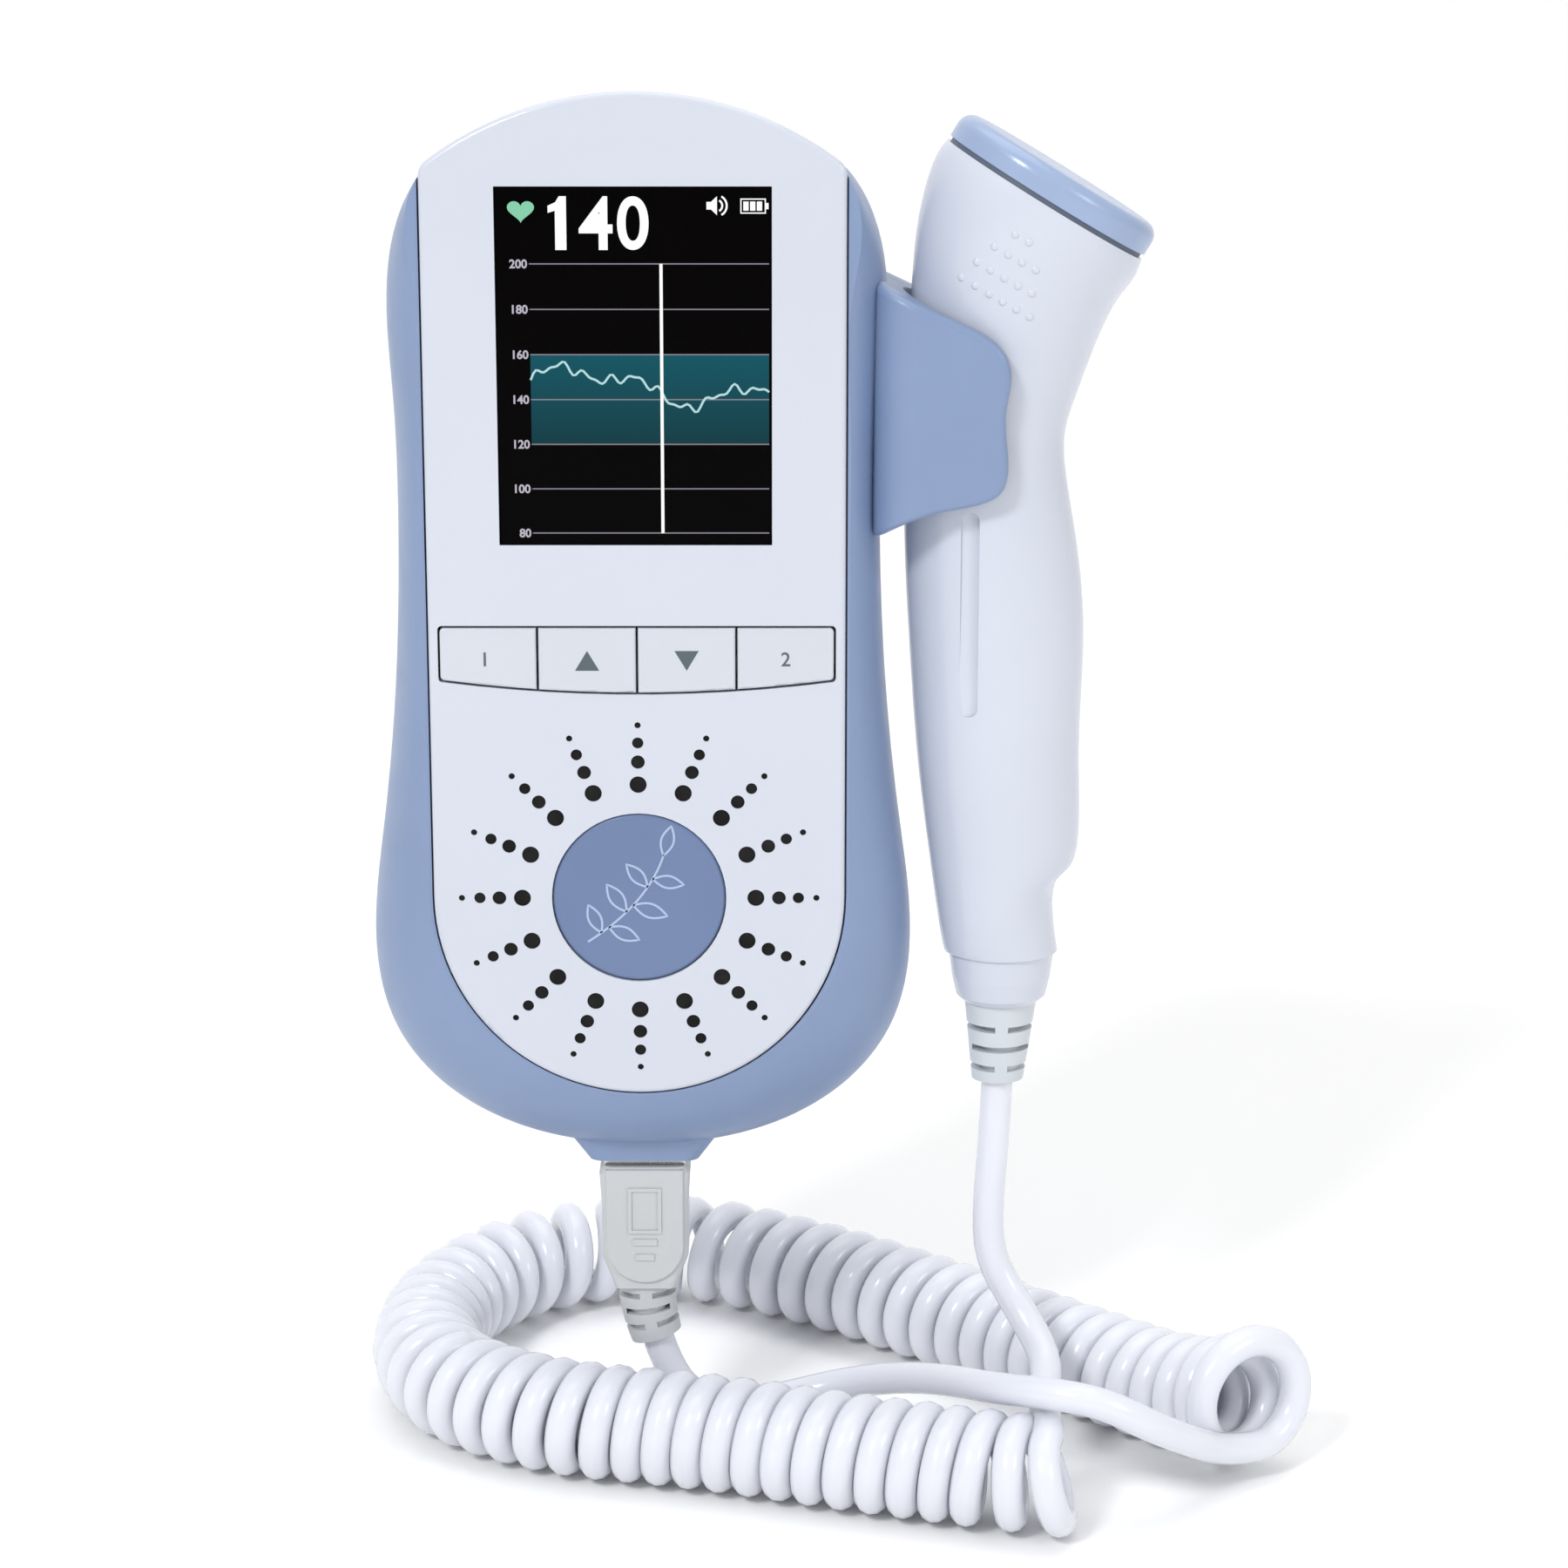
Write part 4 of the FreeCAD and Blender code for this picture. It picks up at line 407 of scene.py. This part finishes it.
solder_mask, tree, shader, place = new_material("green_solder_mask", {"Roughness": 0.32, "IOR": 1.5})
tracks = add_node(tree, "TexBrick", {"Vector": place, "Scale": 1 / (8 * TRACK_PITCH), "Mortar Size": 0.06,
                                     "Color1": linear(MASK_GREEN), "Color2": linear(MASK_GREEN),
                                     "Mortar": linear(COPPER_GREEN)})
relief = add_node(tree, "Bump", {"Height": tracks.outputs["Fac"], "Distance": 0.03 * MM})
tree.links.new(tracks.outputs["Color"], shader.inputs["Base Color"])
tree.links.new(relief.outputs["Normal"], shader.inputs["Normal"])
made_of(solder_mask, "main_board", "probe_board")
made_of(moulded("black_epoxy", EPOXY_BLACK, 0.5, 0.3 * MM, 0.01 * MM), "board_parts", "tact_switches")
made_of(moulded("milky_silicone", SILICONE, 0.6, 0.8 * MM, 0.01 * MM, ior=1.41), "key_mat")

# ---------------------------------------------------------------- speaker
# Paper cone in a black steel frame with a ferrite magnet, sealed to the panel by a foam ring. The
# cone is dark felted paper. Black discs just behind the panel's face fill the holes: painted shade
# that makes the holes look dark.

FOAM_BLACK = "101011"
CONE_BLACK = "0b0b0c"
FRAME_BLACK = "131315"
FERRITE = "4b4c50"
# Black of the painted shade in the speaker holes, and how deep and thick its discs are.
HOLE_SHADE_BLACK = "050506"
HOLE_SHADE_DEPTH = 0.3 * MM         # from the panel's face to the painted shade discs
HOLE_SHADE_T = 0.1 * MM
HOLE_RAYS = 16
HOLE_STEPS = 24
HOLE_RINGS = ((16.2, 1.16), (19.4, 0.93), (22.1, 0.76), (24.6, 0.41))     # mm: radius and hole's radius

foam, tree, shader, place = new_material("closed_cell_foam", {"Base Color": linear(FOAM_BLACK),
                                                              "Roughness": 0.95})
cells = add_node(tree, "TexVoronoi", {"Vector": place, "Scale": 1 / (0.5 * MM)})
relief = add_node(tree, "Bump", {"Height": cells.outputs["Distance"], "Distance": 0.15 * MM})
tree.links.new(relief.outputs["Normal"], shader.inputs["Normal"])
made_of(foam, "speaker_gasket")
made_of(moulded("felted_paper", CONE_BLACK, 0.9, 0.4 * MM, 0.05 * MM, mottle=0.15), "speaker_cone")
made_of(moulded("black_enamel", FRAME_BLACK, 0.45, 1.0 * MM, 0.01 * MM), "speaker_frame")
made_of(plated("ground_ferrite", FERRITE, 0.5, 0.6 * MM), "speaker_magnet")

disc_low, disc_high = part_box("centre_disc")
disc_x = (disc_low[0] + disc_high[0]) / 2
disc_z = (disc_low[2] + disc_high[2]) / 2
# One black disc in each speaker hole, a little behind the panel's face: painted shade in the holes.
painted_hole_shade = []
for far, hole in HOLE_RINGS:
    for ray in range(HOLE_RAYS):
        a = math.tau * ray / HOLE_RAYS
        x, z = disc_x + far * MM * math.cos(a), disc_z + far * MM * math.sin(a)
        turns = [math.tau * i / HOLE_STEPS for i in range(HOLE_STEPS)]
        painted_hole_shade.append([(x + hole * MM * math.cos(turn), z + hole * MM * math.sin(turn))
                           for turn in turns])
flat_piece("painted_hole_shade", painted_hole_shade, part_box("front_panel")[0][1] + HOLE_SHADE_DEPTH, HOLE_SHADE_T,
           moulded("painted_hole_shade_black", HOLE_SHADE_BLACK, 0.95, 0.2 * MM, 0.02 * MM, mottle=0.1), "monitor")

# ---------------------------------------------------------------- centre disc
# Blue ABS disc set into the middle of the speaker holes, a shade darker than the casing, with a
# sprig printed on it in thin lines of pale ink.

DISC_BLUE = "62759a"
PALE_INK = "a3b4d2"
SPRIG_W = 0.3 * MM
STEM = ((-7.2, -6.4), (-2.6, -3.4), (1.6, 0.6), (3.4, 6.0))       # mm from the disc's middle
# Share of the stem, angle from it in degrees, and length in mm.
LEAVES = ((0.14, 78, 4.4), (0.22, -62, 4.6), (0.42, 80, 4.8), (0.5, -66, 5.0), (0.7, 76, 4.4),
          (0.78, -70, 4.4), (1.0, 4, 4.4))
LEAF_FULL = 0.2                # half width of a leaf over its length

made_of(moulded("satin_disc_abs", DISC_BLUE, 0.42, 0.5 * MM, 0.005 * MM, ior=1.53), "centre_disc")


def on_stem(share):
    """The point at that share of the stem, by the curve that its four points pull."""
    pulls = ((1 - share) ** 3, 3 * share * (1 - share) ** 2, 3 * share ** 2 * (1 - share), share ** 3)
    return [sum(pull * point[axis] for pull, point in zip(pulls, STEM)) for axis in (0, 1)]


def disc_line(points):
    """A printed line through points in mm from the disc's middle."""
    return ribbon([(disc_x + x * MM, disc_z + z * MM) for x, z in points], SPRIG_W)


sprig = disc_line([on_stem(i / 24) for i in range(25)])
for share, turn, length in LEAVES:
    (x0, z0), (x1, z1) = on_stem(share - 0.02), on_stem(share)
    angle = math.atan2(z1 - z0, x1 - x0) + math.radians(turn)
    edge = [(length * i / 12, length * LEAF_FULL * math.sin(math.pi * i / 12)) for i in range(13)]
    edge += [(along, -aside) for along, aside in reversed(edge[:-1])]
    sprig += disc_line([(x1 + along * math.cos(angle) - aside * math.sin(angle),
                         z1 + along * math.sin(angle) + aside * math.cos(angle)) for along, aside in edge])
flat_piece("disc_print", sprig, disc_low[1], INK_T,
           moulded("printed_pale_ink", PALE_INK, 0.5, 0.3 * MM, 0.003 * MM), "monitor")

# ---------------------------------------------------------------- batteries, contacts and sockets
# Three round cells in a shrunk plastic sleeve, satin grey with a darker band towards the positive
# end. Their contacts, the socket and the plug's shell are pressed from nickel-plated steel.

SLEEVE_GREY = "8d9298"
SLEEVE_DARK = "3d4248"
CONTACT_NICKEL = "cdccc6"
BAND_SHARE = 0.72              # of a cell's height, where its dark band starts

sleeve, tree, shader, place = new_material("shrunk_sleeve", {"Roughness": 0.34, "IOR": 1.52})
cell_low, cell_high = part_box("battery_cells")
upright = add_node(tree, "SeparateXYZ", {"Vector": place})
height = add_node(tree, "MapRange", {"Value": upright.outputs["Z"], "From Min": cell_low[2],
                                     "From Max": cell_high[2]})
colours = add_node(tree, "ValToRGB", {"Fac": height.outputs["Result"]})
colours.color_ramp.interpolation = "CONSTANT"
colours.color_ramp.elements[0].color = linear(SLEEVE_GREY)
colours.color_ramp.elements[1].position = BAND_SHARE
colours.color_ramp.elements[1].color = linear(SLEEVE_DARK)
film = add_node(tree, "TexNoise", {"Vector": place, "Scale": 1 / (3 * MM)})
relief = add_node(tree, "Bump", {"Height": film.outputs["Fac"], "Distance": 0.03 * MM})
tree.links.new(colours.outputs["Color"], shader.inputs["Base Color"])
tree.links.new(relief.outputs["Normal"], shader.inputs["Normal"])
made_of(sleeve, "battery_cells")
made_of(plated("nickel_plated_steel", CONTACT_NICKEL, 0.25, 0.4 * MM),
        "battery_contacts", "connector_socket", "plug_shell")

# ---------------------------------------------------------------- plug
# Overmoulded plug of grey-white polyurethane with a raised shield, a frame and two bars to grip,
# and a slotted sleeve that lets the cord bend. It feels like firm rubber and looks satin.

PLUG_GREY = "bdc0c2"

made_of(moulded("satin_grey_polyurethane", PLUG_GREY, 0.45, 0.6 * MM, 0.008 * MM),
        "plug_body", "plug_strain_relief")

# ---------------------------------------------------------------- probe
# Two handle shells of white gloss ABS, welded along the sides, with a cap of pale blue over the
# crystals, a grey seal under it and a collar below. The slotted sleeve is softer, in cool white.

PROBE_WHITE = "c6cbd7"
CAP_BLUE = "92a4c4"
SEAL_GREY = "5d6878"
SLEEVE_WHITE = "c5cbd1"
CRYSTAL_SILVER = "c9c8c2"
BACKING_GREY = "3a3b3f"

made_of(moulded("polished_probe_abs", PROBE_WHITE, 0.22, 5 * MM, 0.004 * MM, mottle=0.01, ior=1.53),
        "probe_front_shell", "probe_rear_shell", "probe_collar")
made_of(moulded("sensing_cap_resin", CAP_BLUE, 0.24, 3 * MM, 0.003 * MM, ior=1.55), "probe_cap")
made_of(moulded("seal_rubber", SEAL_GREY, 0.6, 0.5 * MM, 0.01 * MM, ior=1.52), "cap_seal")
made_of(moulded("cool_white_elastomer", SLEEVE_WHITE, 0.42, 0.6 * MM, 0.006 * MM), "probe_strain_relief")
made_of(plated("silvered_ceramic", CRYSTAL_SILVER, 0.35, 0.5 * MM), "crystals")
made_of(moulded("filled_epoxy", BACKING_GREY, 0.6, 0.4 * MM, 0.02 * MM, mottle=0.1), "crystal_backing")

# ---------------------------------------------------------------- dots on the probe
# Low round dots moulded on the handle below the cap, in rows along it. They tell the thumb which
# side of the head is the front.

DOT_R = 0.58 * MM
DOT_RISE = 0.26 * MM
DOT_SINK = 0.04 * MM           # how deep a dot's edge lies in the handle
DOT_SIDES = 14
DOT_LEVELS = 3
# First dot's x and z in mm, and how many dots the row has.
DOT_ROWS = ((50.9, 75.2, 2), (48.2, 73.5, 4), (45.9, 71.3, 5), (43.9, 69.1, 6))
ALONG_ROW = (1.85, -1.03)

handle = nodes["probe_front_shell"]
bpy.context.view_layer.update()
corners, faces = [], []
for first_x, first_z, count in DOT_ROWS:
    for step in range(count):
        x, z = (first_x + step * ALONG_ROW[0]) * MM, (first_z + step * ALONG_ROW[1]) * MM
        _, foot, out, _ = handle.ray_cast(Vector((x, -0.1, z)), Vector((0, 1, 0)))
        side = Vector((0, 0, 1)).cross(out).normalized()
        top = out.cross(side)
        first = len(corners)
        for level in range(DOT_LEVELS):
            lean = math.pi / 2 * level / DOT_LEVELS
            for i in range(DOT_SIDES):
                turn = math.tau * i / DOT_SIDES
                rim = DOT_R * math.cos(lean) * (math.cos(turn) * side + math.sin(turn) * top)
                corners.append(foot + rim + out * (DOT_RISE * math.sin(lean) - DOT_SINK))
        corners.append(foot + out * (DOT_RISE - DOT_SINK))
        for level in range(DOT_LEVELS):
            ring = first + level * DOT_SIDES
            for i in range(DOT_SIDES):
                following = (i + 1) % DOT_SIDES
                if level < DOT_LEVELS - 1:
                    faces.append((ring + i, ring + following, ring + DOT_SIDES + following,
                                  ring + DOT_SIDES + i))
                else:
                    faces.append((ring + i, ring + following, len(corners) - 1))
dots_mesh = bpy.data.meshes.new("probe_dots")
dots_mesh.from_pydata(corners, [], faces)
dots_mesh.materials.append(handle.material_slots[0].material)
dots_mesh.shade_smooth()
probe_dots = bpy.data.objects.new("probe_dots", dots_mesh)
bpy.context.scene.collection.objects.link(probe_dots)
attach(probe_dots, "probe")

# ---------------------------------------------------------------- cord
# One cord of 4.6 mm in glossy white polyurethane, heat-set on a mandrel into a left-handed curl for
# most of its length and left straight at both ends. It lies on the surface in an open loop.

CORD_WHITE = "dddfe7"
MILKY = 0.5                   # share of the light that enters the skin and keeps the creases pale
LIGHT_REACH = 2.5 * MM        # how far it gets
CABLE_D = 4.6 * MM
CURL_R = 6.2 * MM              # from the curl's axis to the middle of the cable
RING_R = 8.2 * MM              # the first turn is wider than the rest
RING_TURNS = (0.6, 1.4)       # turns that keep that width, and turns over which it narrows
FIRST_FACING = Vector((-0.57, 0.82, 0.0))       # the way the first turn's axis points
FACING_TURNS = 2.5            # turns over which that way joins the curl's
# Share of the curl's length, and mm from turn to turn: it has been pulled open at the back.
OPENING = ((0.0, 4.6), (0.12, 4.7), (0.24, 5.3), (0.33, 5.8), (0.38, 7.0), (0.42, 6.1), (0.46, 6.9),
           (0.54, 6.2), (0.62, 5.0), (0.7, 4.6), (1.0, 4.55))
LOOSE_TURNS = 2.3              # turns at the end that hang open at the bottom
LOOSE_SHIFT = 5.4 * MM        # how far the last one hangs open
POINTS_PER_TURN = 16
PULLED_TURNS = 20              # turns that move when the probe is lifted
# The routes are in mm.
PLUG_ROUTE = (
    (1.4, -15.0, -86.4), (2.8, -14.9, -91.2), (6.2, -14.3, -96.4), (12.2, -13.2, -99.2),
    (20.4, -11.8, -98.0), (29.6, -12.2, -95.4), (38.2, -18.4, -92.0), (44.6, -27.2, -88.9),
    (50.0, -36.2, -86.3), (56.8, -43.2, -84.0), (64.4, -45.2, -84.6), (71.5, -42.8, -89.2),
    (77.4, -37.7, -93.6), (82.4, -31.3, -97.8))
PROBE_ROUTE = (
    (50.9, -14.5, -47.4), (50.6, -14.6, -56.0), (49.8, -14.4, -66.0), (50.0, -14.8, -74.6),
    (54.2, -16.6, -81.6), (58.4, -22.5, -87.4), (56.9, -33.5, -89.6))
COIL_ROUTE = (
    (88.5, -27.9, -90.7), (80.8, -19.4, -95.0), (65.5, -4.2, -95.5), (47.3, 13.2, -95.5),
    (26.0, 32.0, -95.5), (2.0, 46.5, -95.5), (-21.0, 38.5, -95.5), (-34.5, 17.0, -95.5),
    (-33.5, -9.0, -95.5), (-16.0, -24.5, -95.5), (9.0, -29.8, -95.5), (36.0, -39.5, -95.5),
    (57.0, -45.2, -95.5))


def metres(route):
    return [Vector(point) * MM for point in route]


def cable_curve(name, points):
    """Smooth open curve that a cable's middle follows."""
    data = bpy.data.curves.new(name, "CURVE")
    data.dimensions = "3D"
    data.resolution_u = 4
    spline = data.splines.new("NURBS")
    spline.points.add(len(points) - 1)
    for knot, point in zip(spline.points, points):
        knot.co = (*point, 1.0)
    spline.order_u = 3
    spline.use_endpoint_u = True
    piece = bpy.data.objects.new(name, data)
    bpy.context.scene.collection.objects.link(piece)
    return piece


def line_of(curve):
    """The points along a curve that has no bevel."""
    mesh = bpy.data.meshes.new_from_object(curve)
    line = [v.co.copy() for v in mesh.vertices]
    bpy.data.meshes.remove(mesh)
    return line


def distances(line):
    """How far along the line each of its points is."""
    far = [0.0]
    for a, b in zip(line, line[1:]):
        far.append(far[-1] + (b - a).length)
    return far


def between(places, values, place):
    """The value at a place, in step with the rising list of places."""
    i = min(max(bisect_right(places, place) - 1, 0), len(places) - 2)
    return values[i] + (values[i + 1] - values[i]) * ((place - places[i]) / (places[i + 1] - places[i]))


def ease(share):
    share = min(share, 1.0)
    return share * share * (3 - 2 * share)


def curl_points(axis):
    """Points of a left-handed curl about the line called axis, from the bottom of its first turn to
    the top of its last."""
    far = distances(axis)
    headings = [(axis[min(i + 1, len(axis) - 1)] - axis[max(i - 1, 0)]).normalized()
                for i in range(len(axis))]
    shares, pitches = zip(*OPENING)
    turns = [0.0]
    for a, b in zip(far, far[1:]):
        turns.append(turns[-1] + (b - a) / (between(shares, pitches, (a + b) / 2 / far[-1]) * MM))
    last_turn = round(turns[-1] - 0.5) + 0.5
    points = []
    for index in range(int(last_turn * POINTS_PER_TURN) + 1):
        turn = index / POINTS_PER_TURN
        along = between(turns, far, turn * turns[-1] / last_turn)
        heading = between(far, headings, along)
        facing = FIRST_FACING.lerp(heading, ease(turn / FACING_TURNS)).normalized()
        across = Vector((0, 0, 1)).cross(facing).normalized()
        up = facing.cross(across)
        radius = RING_R + (CURL_R - RING_R) * ease(max(0.0, turn - RING_TURNS[0]) / RING_TURNS[1])
        phase = math.pi / 2 + math.tau * turn
        hang = LOOSE_SHIFT * max(0.0, 1 - (last_turn - turn) / LOOSE_TURNS) * (1 + math.sin(phase)) / 2
        points.append(between(far, axis, along) + heading * hang
                      + radius * (math.cos(phase) * across - math.sin(phase) * up))
    return points


coil_axis = cable_curve("coil_axis", metres(COIL_ROUTE))
coil_axis.data.resolution_u = 12
curl = curl_points(line_of(coil_axis))
bpy.data.objects.remove(coil_axis)

# The turns next to the probe are a mesh of their own, because they pull out when it is lifted.
split = len(curl) - PULLED_TURNS * POINTS_PER_TURN
joint_point = (curl[split - 1] + curl[split]) / 2
long_cord = cable_curve("cord_to_plug", [joint_point] + curl[:split][::-1] + metres(PLUG_ROUTE)[::-1])
short_cord = cable_curve("short_cord", [joint_point] + curl[split:] + metres(PROBE_ROUTE)[::-1])
long_line, short_line = line_of(long_cord), line_of(short_cord)
cord_skin = moulded("glossy_white_polyurethane", CORD_WHITE, 0.2, 1.2 * MM, 0.006 * MM, mottle=0.015)
for socket, value in (("Subsurface Weight", MILKY), ("Subsurface Scale", LIGHT_REACH),
                      ("Subsurface Radius", (1.0, 1.0, 1.0))):
    cord_skin.node_tree.nodes["Principled BSDF"].inputs[socket].default_value = value
for cord in (long_cord, short_cord):
    cord.data.bevel_depth = CABLE_D / 2
    cord.data.bevel_resolution = 4
    cord.data.materials.append(cord_skin)
pulled_cord = bpy.data.objects.new("cord_to_probe", bpy.data.meshes.new_from_object(short_cord))
bpy.context.scene.collection.objects.link(pulled_cord)
bpy.data.objects.remove(short_cord)
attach(long_cord, "monitor")
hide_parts("plug_cable", "curly_cord")
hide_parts("probe_cable")
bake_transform(pulled_cord)

# ---------------------------------------------------------------- studio
# White paper table that rises behind in one sweep, in a white room. A soft lamp at the upper left
# gives the gloss its highlights, one at the right fills in, and one overhead keeps the table white.

TABLE_Z = -104.15 * MM
TABLE_FRONT = -3.0
SWEEP_START = 0.7
SWEEP_R = 0.5
SWEEP_HALF = 3.0
SWEEP_TOP = 2.5
SWEEP_STEPS = 16
PAPER_WHITE = "f8f8f8"
ROOM_LIGHT = 0.63
# Name, place in metres from what the camera looks at, size in metres, and watts.
LAMPS = (("upper_lamp", (-0.55, -0.95, 0.85), 0.24, 8.5), ("side_lamp", (0.9, -0.7, 0.5), 0.35, 2.5),
         ("overhead_lamp", (0.0, 0.2, 1.3), 1.2, 7.0))

profile = [(TABLE_FRONT, TABLE_Z)]
for i in range(SWEEP_STEPS + 1):
    a = math.pi / 2 * i / SWEEP_STEPS
    profile.append((SWEEP_START + SWEEP_R * math.sin(a), TABLE_Z + SWEEP_R * (1 - math.cos(a))))
profile.append((SWEEP_START + SWEEP_R, SWEEP_TOP))
table_mesh = bpy.data.meshes.new("table")
table_mesh.from_pydata([(x, y, z) for y, z in profile for x in (-SWEEP_HALF, SWEEP_HALF)], [],
                       [(2 * i, 2 * i + 1, 2 * i + 3, 2 * i + 2) for i in range(len(profile) - 1)])
table_mesh.shade_smooth()
table_mesh.materials.append(moulded("white_paper", PAPER_WHITE, 0.9, 2 * MM, 0.002 * MM, mottle=0.002))
table = bpy.data.objects.new("table", table_mesh)
bpy.context.scene.collection.objects.link(table)

world = bpy.data.worlds.new("studio")
bpy.context.scene.world = world
world.use_nodes = True
world.node_tree.nodes["Background"].inputs["Color"].default_value = (1, 1, 1, 1)
world.node_tree.nodes["Background"].inputs["Strength"].default_value = ROOM_LIGHT

aim = Vector((20.1, -29.0, 0.0)) * MM
for name, offset, size, watts in LAMPS:
    light = bpy.data.lights.new(name, "AREA")
    light.size = size
    light.energy = watts
    lamp = bpy.data.objects.new(name, light)
    lamp.location = aim + Vector(offset)
    lamp.rotation_euler = (-Vector(offset)).to_track_quat("-Z", "Y").to_euler()
    bpy.context.scene.collection.objects.link(lamp)

# ---------------------------------------------------------------- camera
# Half a metre away and a little above, as if held at chest height and looked at from the front.

CAMERA_DISTANCE = 0.525
CAMERA_RISE = math.radians(14)
VIEW_WIDTH = 0.216             # metres across the picture, at what the camera looks at

camera_data = bpy.data.cameras.new("camera")
camera_data.sensor_width = 36
camera_data.lens = camera_data.sensor_width * CAMERA_DISTANCE / VIEW_WIDTH
camera = bpy.data.objects.new("camera", camera_data)
camera.location = aim + Vector((0, -math.cos(CAMERA_RISE), math.sin(CAMERA_RISE))) * CAMERA_DISTANCE
camera.rotation_euler = (math.pi / 2 - CAMERA_RISE, 0, 0)
bpy.context.scene.collection.objects.link(camera)
bpy.context.scene.camera = camera
bpy.context.scene.view_settings.view_transform = "Standard"
